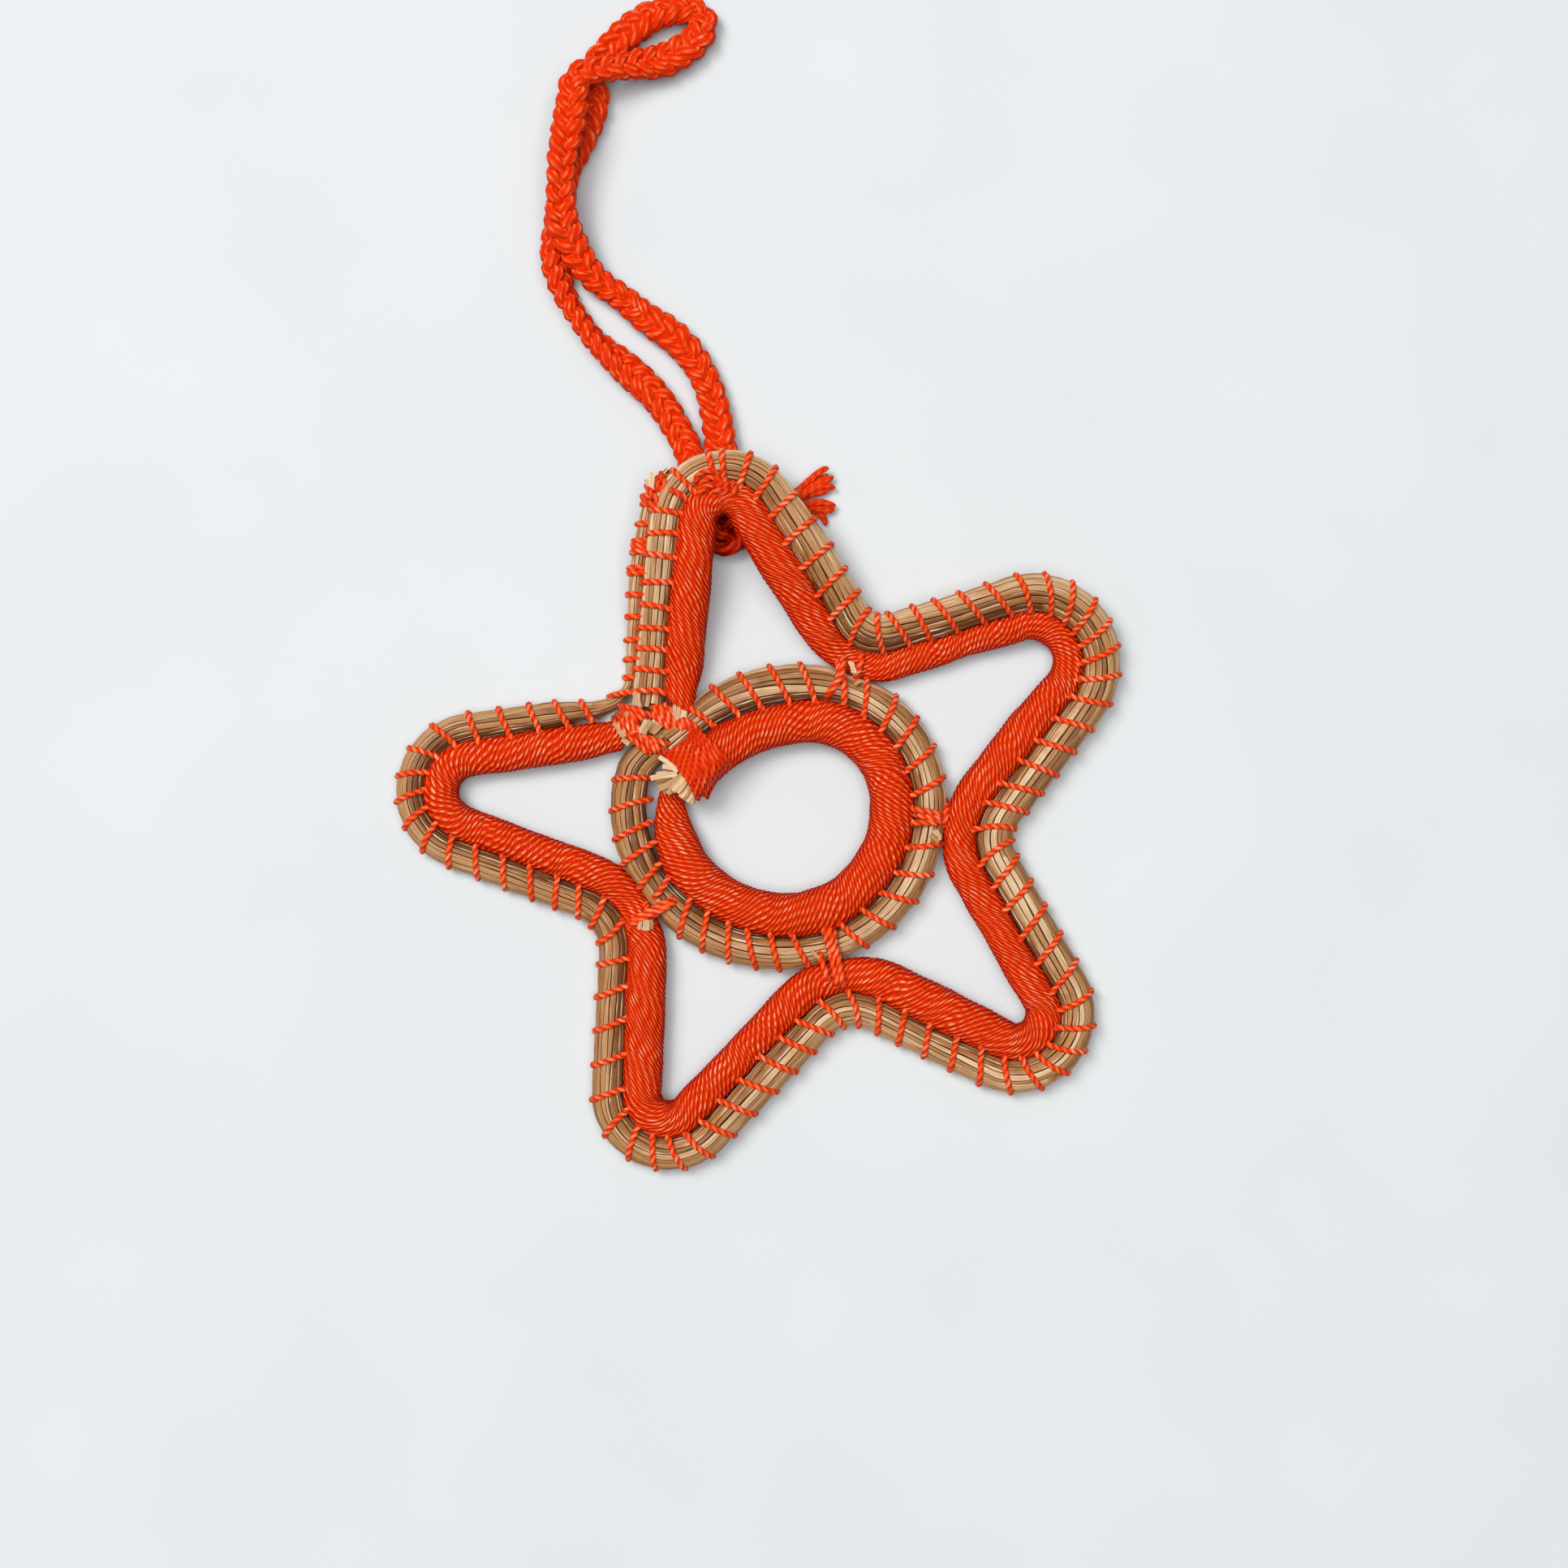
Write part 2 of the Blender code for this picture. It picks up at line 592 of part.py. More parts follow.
def strap(name, direction, reach, heading, length, width):
    """A flat band of thread turns laid over the bundles, drawn tight."""
    run = polar(1.0, heading)
    start = polar(reach, direction) - 0.5 * length * run
    end = start + length * run
    count = 9
    share = np.linspace(0, 1, count)
    middle = start + share[:, None] * (end - start)
    side = np.array([-run[1], run[0]])
    offsets = np.linspace(-0.5, 0.5, 5) * width
    under = surface_height(middle[:, None] + offsets[:, None] * side).max(axis=1)
    under = drawn_tight(share, np.maximum(under, MM))
    section = ((-0.5, 0.0), (0.5, 0.0), (0.5, 0.55), (0.28, 1.0), (-0.28, 1.0), (-0.5, 0.55))
    rows = []
    for point, base in zip(middle, under):
        for across, above in section:
            plan = point + across * width * side + SHIFT
            rows.append((*plan, base + above * TIE_THICKNESS + float(lift(plan))))
    size = len(section)
    faces = [list(range(size)), [(count - 1) * size + corner for corner in range(size)][::-1]]
    for row in range(count - 1):
        for corner in range(size):
            following = (corner + 1) % size
            faces.append([row * size + corner, (row + 1) * size + corner,
                          (row + 1) * size + following, row * size + following])
    mesh = bpy.data.meshes.new(name)
    mesh.from_pydata(rows, [], faces)
    work = bmesh.new()
    work.from_mesh(mesh)
    bmesh.ops.recalc_face_normals(work, faces=work.faces)
    work.to_mesh(mesh)
    work.free()
    return add_mesh(name, mesh, coral_thread)


# The hanging cord, its knot and its tails: points in millimetres from the ring's middle, and heights

CORD_ROUTE = (
    (-9.4, 56.0, 2.6), (-10.0, 60.4, 2.5), (-10.4, 64.3, 2.5), (-11.5, 70.8, 2.5), (-13.1, 75.6, 2.5),
    (-15.7, 79.9, 2.5), (-19.2, 83.4, 2.5), (-23.4, 86.2, 2.5), (-27.6, 89.7, 2.5), (-31.8, 92.6, 2.9),
    (-34.6, 96.0, 4.0), (-36.4, 99.5, 5.4), (-37.5, 103.4, 6.8), (-37.4, 111.4, 7.8), (-36.7, 115.6, 7.8),
    (-35.7, 121.2, 7.6), (-35.0, 125.8, 7.6), (-32.5, 127.3, 7.4), (-29.0, 128.2, 6.2), (-24.8, 129.4, 4.2),
    (-20.6, 130.3, 2.9), (-17.1, 132.2, 2.5), (-14.3, 134.5, 2.5), (-13.3, 136.9, 2.5), (-14.6, 138.9, 2.5),
    (-18.5, 139.2, 2.5), (-22.7, 138.0, 2.5), (-26.2, 135.5, 2.5), (-29.0, 133.1, 2.5), (-31.8, 130.3, 2.5),
    (-32.6, 127.6, 2.5), (-30.8, 124.3, 2.5), (-32.1, 120.5, 2.5), (-33.6, 116.3, 2.5), (-36.0, 112.1, 2.5),
    (-37.8, 107.2, 2.5), (-38.4, 102.3, 2.5), (-39.1, 97.4, 2.5), (-38.6, 93.9, 2.5), (-37.1, 89.7, 2.5),
    (-35.0, 86.2, 2.5), (-32.5, 82.7, 2.5), (-28.7, 79.2, 2.5), (-24.8, 75.7, 2.5), (-21.3, 72.2, 2.5),
    (-18.5, 68.0, 2.5), (-16.3, 64.0, 2.5), (-15.0, 60.0, 2.5), (-14.6, 56.0, 2.6),
)
KNOT_PLACE = (-9.0, 49.4, 2.3)
KNOT_SIZE = (9.4 * MM, 9.0 * MM, 4.4 * MM)
UPPER_TAIL = ((-4.2, 51.2, 1.9), (-0.6, 53.6, 1.7), (4.6, 56.6, 1.5), (9.2, 58.2, 1.4))
LOWER_TAIL = ((-3.9, 48.6, 1.9), (1.2, 51.6, 1.7), (5.8, 53.3, 1.5), (9.7, 53.8, 1.4))


def set_down(points):
    """Points given from the ring's middle, in metres in the set model."""
    return MM * np.asarray(points) + np.append(SHIFT, 0.0)


def tube(name, points, radius, resolution, finish, flare=None):
    """A round cord along a line of points, with closed ends."""
    curve = bpy.data.curves.new(name, "CURVE")
    curve.dimensions = "3D"
    curve.bevel_depth = radius
    curve.bevel_resolution = resolution
    curve.use_fill_caps = True
    curve.resolution_u = 1
    spline = curve.splines.new("POLY")
    spline.points.add(len(points) - 1)
    spline.points.foreach_set("co", np.concatenate([points, np.ones((len(points), 1))], axis=1).ravel())
    if flare is not None:
        spline.points.foreach_set("radius", flare)
    made = bpy.data.objects.new(name, curve)
    collection.objects.link(made)
    curve.materials.append(finish)
    return made


def hanger():
    """The cord's loop, the knot behind the top arm and the two loose tails."""
    line = spline_through(set_down(CORD_ROUTE), 0.8 * CORD_DIAMETER)
    tube("hanger_cord", line, CORD_DIAMETER / 2, 2, coral_cord)
    for name, route in (("hanger_tail_upper", UPPER_TAIL), ("hanger_tail_lower", LOWER_TAIL)):
        points = spline_through(set_down(route), 2.6 * MM)
        tube(name, points, TAIL_RADIUS, 1, coral_cord, np.linspace(0.8, 1.15, len(points)))
    bpy.ops.mesh.primitive_uv_sphere_add(segments=12, ring_count=7, radius=0.5)
    knot = bpy.context.object
    for owner in knot.users_collection:
        owner.objects.unlink(knot)
    mesh = knot.data
    bpy.data.objects.remove(knot)
    corners = np.empty(3 * len(mesh.vertices))
    mesh.vertices.foreach_get("co", corners)
    corners = corners.reshape(-1, 3) * np.array(KNOT_SIZE) + set_down(KNOT_PLACE)
    mesh.vertices.foreach_set("co", corners.ravel())
    mesh.name = "hanger_knot"
    return add_mesh("hanger_knot", mesh, coral_cord)


ring_wrapped_turn()
ring_needle_stub()
ring_needle_turn()
star_wrapped_turn()
star_needle_turn()
add_coil(ring_wrapped_route, ring_wrapped_radius, ring_wrapped_level)
add_coil(ring_needle_route, ring_radius_along)
add_coil(star_wrapped_route, star_wrapped_radius)
add_coil(star_needle_route, bare_star_radius)
for number, tie in enumerate(TIES, 1):
    strap(f"star_ring_tie_{number}", *tie)
hanger()
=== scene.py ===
# %% [markdown]
# # A star of coiled pine needles
# This ornament is coiled basketry. Long dry pine needles are gathered into a bundle, the bundle is laid
# round in turns, and a coral thread holds each turn to the one inside it. The inner turn of the star and
# of the ring is hidden under close wraps of the thread, the outer turn shows its needles under spaced
# stitches, and a braided cord of the same colour hangs it up.
#
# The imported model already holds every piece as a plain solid. This lesson dresses those solids. Each one
# is replaced by a surface that is worked out as a function of the distance along a bundle and the angle
# round it, so it follows the solid. Where the photograph strays from the solids, by a millimetre or so,
# the surface follows the photograph.

# %% Load the frame
import math

import bpy
import numpy as np
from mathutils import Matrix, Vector


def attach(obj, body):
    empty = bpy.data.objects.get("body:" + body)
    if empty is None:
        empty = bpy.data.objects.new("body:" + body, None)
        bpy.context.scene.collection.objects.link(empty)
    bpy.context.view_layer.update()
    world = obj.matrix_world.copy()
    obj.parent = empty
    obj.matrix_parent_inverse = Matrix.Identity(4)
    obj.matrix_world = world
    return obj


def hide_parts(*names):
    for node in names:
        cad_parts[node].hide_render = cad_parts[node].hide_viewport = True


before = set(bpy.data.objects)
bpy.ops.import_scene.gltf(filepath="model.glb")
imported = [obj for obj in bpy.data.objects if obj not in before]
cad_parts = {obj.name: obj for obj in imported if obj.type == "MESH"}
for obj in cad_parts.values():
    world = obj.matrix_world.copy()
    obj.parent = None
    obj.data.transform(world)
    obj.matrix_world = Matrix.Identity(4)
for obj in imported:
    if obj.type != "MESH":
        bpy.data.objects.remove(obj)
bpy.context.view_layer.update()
MM = 0.001
print("frame loaded with", len(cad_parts), "solids")

# %% [markdown]
# ## The camera
# The photograph looks straight down on the ornament as it lies on its back, with much of the sheet round
# it in view. A camera needs two facts for that: how high it stands, which sets how strongly near things
# grow, and how wide a field it sees at the height of the work.

# %% Camera
VIEW_MIDDLE = (4.39 * MM, 4.64 * MM)
VIEW_WIDTH = 270.5 * MM
CAMERA_RISE = 420 * MM
WORK_HEIGHT = 3 * MM
SENSOR = 36.0

camera_data = bpy.data.cameras.new("overhead_camera")
camera_data.sensor_width = SENSOR
camera_data.lens = SENSOR * CAMERA_RISE / VIEW_WIDTH
camera = bpy.data.objects.new("overhead_camera", camera_data)
camera.location = (*VIEW_MIDDLE, WORK_HEIGHT + CAMERA_RISE)
bpy.context.scene.collection.objects.link(camera)
bpy.context.scene.camera = camera
print("camera lens", round(camera_data.lens, 1), "mm")

# %% [markdown]
# ## The light
# The light in a light tent comes from a broad bright roof, so tops are bright, sides fall off and shadows
# are soft. One large lamp overhead and a smaller one to the upper left give that, with a pale world for
# what little light comes from the walls. The plain Standard view keeps the coral as bright as it is.

# %% Lights and world
LIGHTS = (
    ("roof_light", (0.0, 0.08, 1.40), 1.20, 13.2, (1.0, 0.99, 0.98)),
    ("near_light", (-0.90, 0.70, 1.90), 0.90, 26.0, (1.0, 0.97, 0.94)),
)
WORLD_COLOUR, WORLD_STRENGTH = (0.94, 0.97, 1.0, 1), 0.16


def add_light(name, place, width, power, colour):
    """A square lamp that faces the middle of the work."""
    lamp = bpy.data.lights.new(name, "AREA")
    lamp.size = width
    lamp.energy = power
    lamp.color = colour
    holder = bpy.data.objects.new(name, lamp)
    holder.location = place
    holder.rotation_euler = (-Vector(place)).to_track_quat("-Z", "Y").to_euler()
    bpy.context.scene.collection.objects.link(holder)


for light in LIGHTS:
    add_light(*light)

world = bpy.data.worlds.new("pale_room")
world.use_nodes = True
bpy.context.scene.world = world
world.node_tree.nodes["Background"].inputs["Color"].default_value = WORLD_COLOUR
world.node_tree.nodes["Background"].inputs["Strength"].default_value = WORLD_STRENGTH
bpy.context.scene.view_settings.view_transform = "Standard"
print(len(LIGHTS), "lamps placed")

# %% [markdown]
# ## Shader maths as plain expressions
# A material here is a handful of sums: how deep in a groove a point lies, times how dark a groove is, and
# so on. `Signal` wraps one socket and turns the usual signs into Math nodes, so those sums are written as
# sums. The reflected signs are for a plain number on the left, as in `1 - groove`.

# %% Signals


class Signal:
    """One socket of a material. A sign between two of them adds the Math node of that name."""

    def __init__(self, finish, socket):
        self.finish = finish
        self.socket = socket

    def math(self, operation, first, second):
        return self.finish.node("ShaderNodeMath", {"operation": operation}, {0: first, 1: second})

    def __add__(self, other):
        return self.math("ADD", self, other)

    def __sub__(self, other):
        return self.math("SUBTRACT", self, other)

    def __rsub__(self, other):
        return self.math("SUBTRACT", other, self)

    def __mul__(self, other):
        return self.math("MULTIPLY", self, other)

    __radd__ = __add__
    __rmul__ = __mul__

    def between(self, low, high):
        """0 below low, 1 above high, and an even S between."""
        return self.finish.node("ShaderNodeMapRange", {"interpolation_type": "SMOOTHSTEP"},
                                {"Value": self, "From Min": low, "From Max": high})


# %% [markdown]
# ### Finishes
# A finish is one material. Every node is made by its `node` method from a type, settings and sockets, and
# the shorter methods are names for the few kinds that the thread and the needles both need.

# %% Finishes


class Finish:
    """One material, built around its principled shader."""

    def __init__(self, name, roughness, specular=0.5):
        self.material = bpy.data.materials.new(name)
        self.material.use_nodes = True
        self.tree = self.material.node_tree
        self.shader = self.tree.nodes["Principled BSDF"]
        self.shader.inputs["Roughness"].default_value = roughness
        self.shader.inputs["Specular IOR Level"].default_value = specular

    def node(self, kind, settings, inputs, output=0):
        """A node of one kind, with its settings made first and then its sockets filled or linked."""
        made = self.tree.nodes.new(kind)
        for name, value in settings.items():
            setattr(made, name, value)
        for name, value in inputs.items():
            if isinstance(value, Signal):
                self.tree.links.new(value.socket, made.inputs[name])
            else:
                made.inputs[name].default_value = value
        return Signal(self, made.outputs[output])

    def mark(self, name):
        """A number kept at the points of the mesh."""
        return self.node("ShaderNodeAttribute", {"attribute_name": name}, {}, "Fac")

    def place(self):
        """Where a point lies on the piece."""
        return self.node("ShaderNodeTexCoord", {}, {}, "Object")

    def vector(self, *parts):
        """Three numbers taken as a place to read a pattern at."""
        return self.node("ShaderNodeCombineXYZ", {}, dict(zip("XYZ", parts)))

    def noise(self, where, scale, detail=2.0):
        """Cloudy noise from 0 to 1."""
        return self.node("ShaderNodeTexNoise", {}, {"Vector": where, "Scale": scale, "Detail": detail})

    def mix(self, share, first, second):
        """One colour passing into another."""
        return self.node("ShaderNodeMix", {"data_type": "RGBA"}, {0: share, 6: first, 7: second}, 2)

    def feed(self, name, signal):
        """Link a signal to a socket of the principled shader."""
        self.tree.links.new(signal.socket, self.shader.inputs[name])

    def bump(self, height, strength, distance):
        """Raise the surface by a pattern."""
        self.feed("Normal", self.node("ShaderNodeBump", {},
                                      {"Strength": strength, "Distance": distance, "Height": height}))


# %% [markdown]
# ### Colours
# A colour is easiest to choose as it looks on a screen, from 0 to 255. A material wants linear light, so
# the screen's curve is undone.

# %% Colours


def colour(red, green, blue):
    """A colour written as it looks on a screen, from 0 to 255, turned into linear light."""
    shares = np.array([red, green, blue]) / 255
    linear = np.where(shares <= 0.04045, shares / 12.92, ((shares + 0.055) / 1.055) ** 2.4)
    return (*linear.tolist(), 1.0)


# %% [markdown]
# ## The sheet it lies on
# A plain, very pale, slightly cool sheet, wide enough for every view, with only a faint unevenness.

# %% Floor
FLOOR_HALF = 3.0
CLOUD_SCALE = 22.0
SHEET_COLOURS = colour(215, 222, 225), colour(224, 230, 233)
floor_mesh = bpy.data.meshes.new("floor")
floor_mesh.from_pydata([(-FLOOR_HALF, -FLOOR_HALF, 0), (FLOOR_HALF, -FLOOR_HALF, 0),
                        (FLOOR_HALF, FLOOR_HALF, 0), (-FLOOR_HALF, FLOOR_HALF, 0)], [], [(0, 1, 2, 3)])
floor = bpy.data.objects.new("floor", floor_mesh)
bpy.context.scene.collection.objects.link(floor)
sheet_finish = Finish("pale_sheet", 0.85, 0.2)
cloud = sheet_finish.noise(sheet_finish.place(), CLOUD_SCALE)
sheet_finish.feed("Base Color", sheet_finish.mix(cloud, *SHEET_COLOURS))
floor_mesh.materials.append(sheet_finish.material)
print("floor", 2 * FLOOR_HALF, "m wide")

# %% [markdown]
# ## Routes
# Every turn follows a line in plan. The star's inner turn is a belt round ten pegs, five tips and four
# valleys with the open one between its ends, and the ring is a circle that is a little out of round. The
# outer turns stand off from those by the radii of the bundles. The routes of the inner turns are those of
# the solids, and those of the outer turns stay close to theirs.

# %% Helpers for lines
SPLINE_CUTS = 40
NORMAL_REACH = 0.4 * MM


def smooth_step(value):
    """0 below 0, 1 above 1, and an even S between."""
    share = np.clip(value, 0, 1)
    return share * share * (3 - 2 * share)


def distances(line):
    """How far along a line each of its points lies."""
    return np.concatenate([[0], np.cumsum(np.linalg.norm(np.diff(line, axis=0), axis=1))])


def points_at(wanted, at, line):
    """The points of a line at the wanted distances, where `at` has the distances of its own points."""
    return np.stack([np.interp(wanted, at, line[:, axis]) for axis in range(line.shape[1])], axis=-1)


def polar(radius, degrees):
    """The plan point at a distance and a direction from the ring's middle."""
    angle = np.radians(degrees)
    return np.stack([radius * np.cos(angle), radius * np.sin(angle)], axis=-1)


def spline_through(points, step):
    """A Catmull-Rom curve through a short list of points, cut to even steps."""
    points = np.asarray(points, dtype=float)
    held = np.vstack([2 * points[0] - points[1], points, 2 * points[-1] - points[-2]])
    share = np.linspace(0, 1, SPLINE_CUTS, endpoint=False)[:, None]
    pieces = []
    for a, b, c, d in zip(held[:-3], held[1:-2], held[2:-1], held[3:]):
        pieces.append(0.5 * (2 * b + (c - a) * share + (2 * a - 5 * b + 4 * c - d) * share ** 2
                             + (3 * b - a - 3 * c + d) * share ** 3))
    fine = np.vstack(pieces + [points[-1:]])
    at = distances(fine)
    return points_at(np.linspace(0, at[-1], max(2, round(at[-1] / step) + 1)), at, fine)


# %% [markdown]
# ### Walking along a line
# Everything on a bundle is placed by how far along it lies. So a route gives its point and its outward
# normal at any distance, and the distance of its point nearest to a place.

# %% Walking along a line


class Route:
    """A line in plan, walked clockwise, with places and outward normals by distance along it."""

    def __init__(self, points):
        self.points = np.asarray(points, dtype=float)
        self.at = distances(self.points)
        self.length = self.at[-1]

    def along(self, distance):
        """The point at a distance, run on straight past either end."""
        distance = np.asarray(distance, dtype=float)
        held = np.clip(distance, 0, self.length)
        point = points_at(held, self.at, self.points)
        first = self.points[1] - self.points[0]
        last = self.points[-1] - self.points[-2]
        over = distance - held
        run_on = np.where(over[..., None] < 0, first / np.linalg.norm(first), last / np.linalg.norm(last))
        return point + over[..., None] * run_on

    def outward(self, distance):
        """The unit normal on the left of the walk, which is the outer side."""
        ahead = self.along(distance + NORMAL_REACH) - self.along(distance - NORMAL_REACH)
        ahead /= np.linalg.norm(ahead, axis=-1, keepdims=True)
        return np.stack([-ahead[..., 1], ahead[..., 0]], axis=-1)

    def nearest(self, point):
        """The distance along the route of its point nearest to a plan point."""
        return self.at[np.argmin(np.linalg.norm(self.points - np.asarray(point), axis=1))]


# %% [markdown]
# ### The ring's two turns
# The inner turn starts at the upper left, goes clockwise once round, and its tapered end slips under its
# own raised start. The bare turn lies against its outside.

# %% Ring routes
GAP = 0.3 * MM
RING_WRAPPED_RADIUS = 3.75 * MM
RING_NEEDLE_RADIUS = 2.75 * MM
RING_RADIUS = 17.6 * MM
# Its radius in shares of that, every 30 degrees clockwise from 150
RING_SHARES = (0.892, 0.858, 0.898, 1.034, 1.108, 1.078, 1.028, 0.989, 0.955, 0.960, 1.017, 1.068, 1.131)
RING_SHARES_FROM, RING_SHARES_APART = 150, 30.0
RING_START_ANGLE = 159.0
RING_END_ANGLE = -206.0
RING_START_LIFT = 3.0 * MM
RING_START_LIFT_LENGTH = 16 * MM
RING_START_SHARE, RING_START_SWELL = 0.84, 0.16
RING_START_SWELL_LENGTH = 10 * MM
RING_TUCK_IN = 3.0 * MM
RING_TUCK_SPAN = 22.0
RING_NEEDLE_START_ANGLE = 134.5
RING_NEEDLE_END_ANGLE = -217.5
RING_TAPER, RING_TAPER_SHARE = 14 * MM, 0.60
# How far the bare turn lies further out on the photograph, in millimetres, by degrees clockwise
RING_STRAY_AT = (-150, -120, -95, -60, 90, 130, 165, 185, 205)
RING_STRAY_OUT = (0.2, 0.4, 0.35, 0.0, 0.0, 0.2, 0.45, 0.6, 0.2)


def ring_radius_at(angle):
    """The radius of the ring's wrapped turn at an angle, smooth through its shares."""
    angles = RING_SHARES_FROM - RING_SHARES_APART * np.arange(len(RING_SHARES))
    table = spline_through(np.stack([-angles, np.array(RING_SHARES)], axis=-1), 0.5)
    return RING_RADIUS * np.interp(-np.asarray(angle), table[:, 0], table[:, 1])


def bare_ring_radius_at(angle):
    """The radius of the ring's bare turn, lying against the outside of the wrapped turn."""
    contact = RING_WRAPPED_RADIUS + GAP + RING_NEEDLE_RADIUS
    from_end = RING_NEEDLE_END_ANGLE + RING_TUCK_SPAN - np.asarray(angle)
    return ring_radius_at(angle) + contact - RING_TUCK_IN * smooth_step(from_end / RING_TUCK_SPAN)


walk_angles = np.arange(RING_START_ANGLE, RING_END_ANGLE, -1.0)
ring_wrapped_route = Route(polar(ring_radius_at(walk_angles), walk_angles))
bare_angles = np.arange(RING_NEEDLE_START_ANGLE, RING_NEEDLE_END_ANGLE, -1.0)
further_out = MM * np.interp(-bare_angles, RING_STRAY_AT, RING_STRAY_OUT)
ring_needle_route = Route(polar(bare_ring_radius_at(bare_angles) + further_out, bare_angles))


def ring_wrapped_radius(distance):
    """The radius of the ring's wrapped turn: a little less at its start, tapering over its end."""
    from_end = distance - ring_wrapped_route.length + RING_TAPER
    tapered = 1 - RING_TAPER_SHARE * smooth_step(from_end / RING_TAPER)
    swollen = RING_START_SHARE + RING_START_SWELL * smooth_step(distance / RING_START_SWELL_LENGTH)
    return RING_WRAPPED_RADIUS * tapered * swollen


def ring_wrapped_level(distance):
    """The height of the middle of the ring's wrapped turn, raised where it starts."""
    lowered = smooth_step(distance / RING_START_LIFT_LENGTH)
    return ring_wrapped_radius(distance) + RING_START_LIFT * (1 - lowered)


print("ring turns", [round(route.length * 1000) for route in (ring_wrapped_route, ring_needle_route)], "mm")

# %% [markdown]
# ### The star's two turns
# A belt round pegs leaves each peg along the common tangent to the next. Where it turns right it goes
# round a tip, where it turns left it goes round a valley. The bare turn goes round outside the wrapped
# one and then climbs the left side of the top arm as a third coil.

# %% Sizes of the star
STAR_WRAPPED_RADIUS = 3.30 * MM
STAR_NEEDLE_RADIUS = 2.70 * MM
# Tips: direction from the ring's middle in degrees, distance of the peg, and its radius
TIPS = ((100.8, 50.9 * MM, 4.8 * MM), (31.4, 50.5 * MM, 7.0 * MM), (-40.0, 52.9 * MM, 5.0 * MM),
        (-112.1, 51.5 * MM, 4.6 * MM), (-184.7, 52.9 * MM, 6.1 * MM))
# Valleys: direction, bend radius, and how far the ties pinch the bundles there
VALLEYS = ((65.6, 11.1 * MM, 0.20), (-5.2, 13.0 * MM, 0.10), (-73.2, 14.1 * MM, 0.22),
           (-148.2, 14.6 * MM, 0.25))
PINCH_HALF_LENGTH = 4.6 * MM
END_PINCH = 0.22
PINCHES = (END_PINCH, *(drawn_in for _, _, drawn_in in VALLEYS), END_PINCH)
VALLEY_GAP = 1.6 * GAP
STAR_START = (-17.5 * MM, 20.9 * MM)
STAR_END = (-28.0 * MM, 14.1 * MM)
# How full the bundles are on each of the ten legs, in shares of their radii
WRAPPED_FULLNESS = (1.10, 1.06, 0.84, 1.04, 1.04, 1.14, 0.90, 0.97, 0.94, 1.02)
NEEDLE_FULLNESS = (0.74, 1.12, 1.07, 1.07, 1.07, 0.87, 1.08, 1.00, 0.90, 0.82)
TIP_THINNING = 0.14
TIP_THINNING_HALF_LENGTH = 8.0 * MM
THIRD_COIL_RADII = (0.95 * MM, 1.45 * MM, 0.85 * MM)
THIRD_COIL_SHORT = 2.4 * MM
print(len(TIPS), "tips and", len(VALLEYS), "valleys")

# %% [markdown]
# ### The belt
# Round each peg the belt is an arc, and between two pegs it is straight. The pegs of the valleys are
# placed so that the star's wrapped turn only just clears the ring's bare turn once the ties have drawn
# both in.

# %% Route of the wrapped turn
FINE = 0.25 * MM


def belt(pegs, step):
    """The line of a belt drawn round pegs, and where along it each peg's arc has its middle."""
    normals = []
    for (centre, radius), (following, following_radius) in zip(pegs[:-1], pegs[1:]):
        run = following - centre
        lean = math.acos((radius - following_radius) / np.linalg.norm(run))
        normals.append(math.atan2(run[1], run[0]) + lean)
    (first, first_radius), (last, last_radius) = pegs[0], pegs[-1]
    points = [first + first_radius * np.array([math.cos(normals[0]), math.sin(normals[0])])]
    middles = []
    for (centre, radius), arriving, leaving in zip(pegs[1:-1], normals[:-1], normals[1:]):
        turn = (leaving - arriving + math.pi) % (2 * math.pi) - math.pi
        if radius > 0 and turn > 0:
            turn -= 2 * math.pi
        count = max(2, round(abs(turn * radius) / step))
        angles = arriving + turn * np.linspace(0, 1, count + 1)
        points.extend(centre + radius * np.stack([np.cos(angles), np.sin(angles)], axis=-1))
        middles.append(len(points) - 1 - count // 2)
    points.append(last + last_radius * np.array([math.cos(normals[-1]), math.sin(normals[-1])]))
    corners = np.array(points)
    at = distances(corners)
    return points_at(np.linspace(0, at[-1], round(at[-1] / step) + 1), at, corners), at[middles]


star_pegs = [(np.array(STAR_START), 0.0)]
for index, (direction, reach, radius) in enumerate(TIPS):
    star_pegs.append((polar(reach, direction), radius))
    if index < len(VALLEYS):
        valley_direction, bend, drawn_in = VALLEYS[index]
        contact = (1 - drawn_in) * (RING_NEEDLE_RADIUS + STAR_WRAPPED_RADIUS) + VALLEY_GAP
        rest = bare_ring_radius_at(valley_direction) + contact
        star_pegs.append((polar(rest + bend, valley_direction), -bend))
star_pegs.append((np.array(STAR_END), 0.0))
star_line, star_middles = belt(star_pegs, FINE)
star_wrapped_route = Route(star_line)
valley_middles = star_middles[1::2]
leg_marks = np.concatenate([[0], star_middles, [star_wrapped_route.length]])
leg_middles = (leg_marks[:-1] + leg_marks[1:]) / 2
print("star's wrapped turn", round(star_wrapped_route.length * 1000), "mm")

# %% [markdown]
# ### How thick each bundle is
# A bundle swells and thins from leg to leg, and the ties in the valleys pinch it. A belt round pegs is
# tidier than the real coils, so each leg also has what the photograph shows of its place and thickness.

# %% Radii of the bundles


def pinch(distance, places, amounts):
    """1 along a bundle, and less where the ties draw it in."""
    share = np.ones_like(np.asarray(distance, dtype=float))
    for place, amount in zip(places, amounts):
        share = share - amount * np.exp(-((distance - place) / PINCH_HALF_LENGTH) ** 2)
    return share


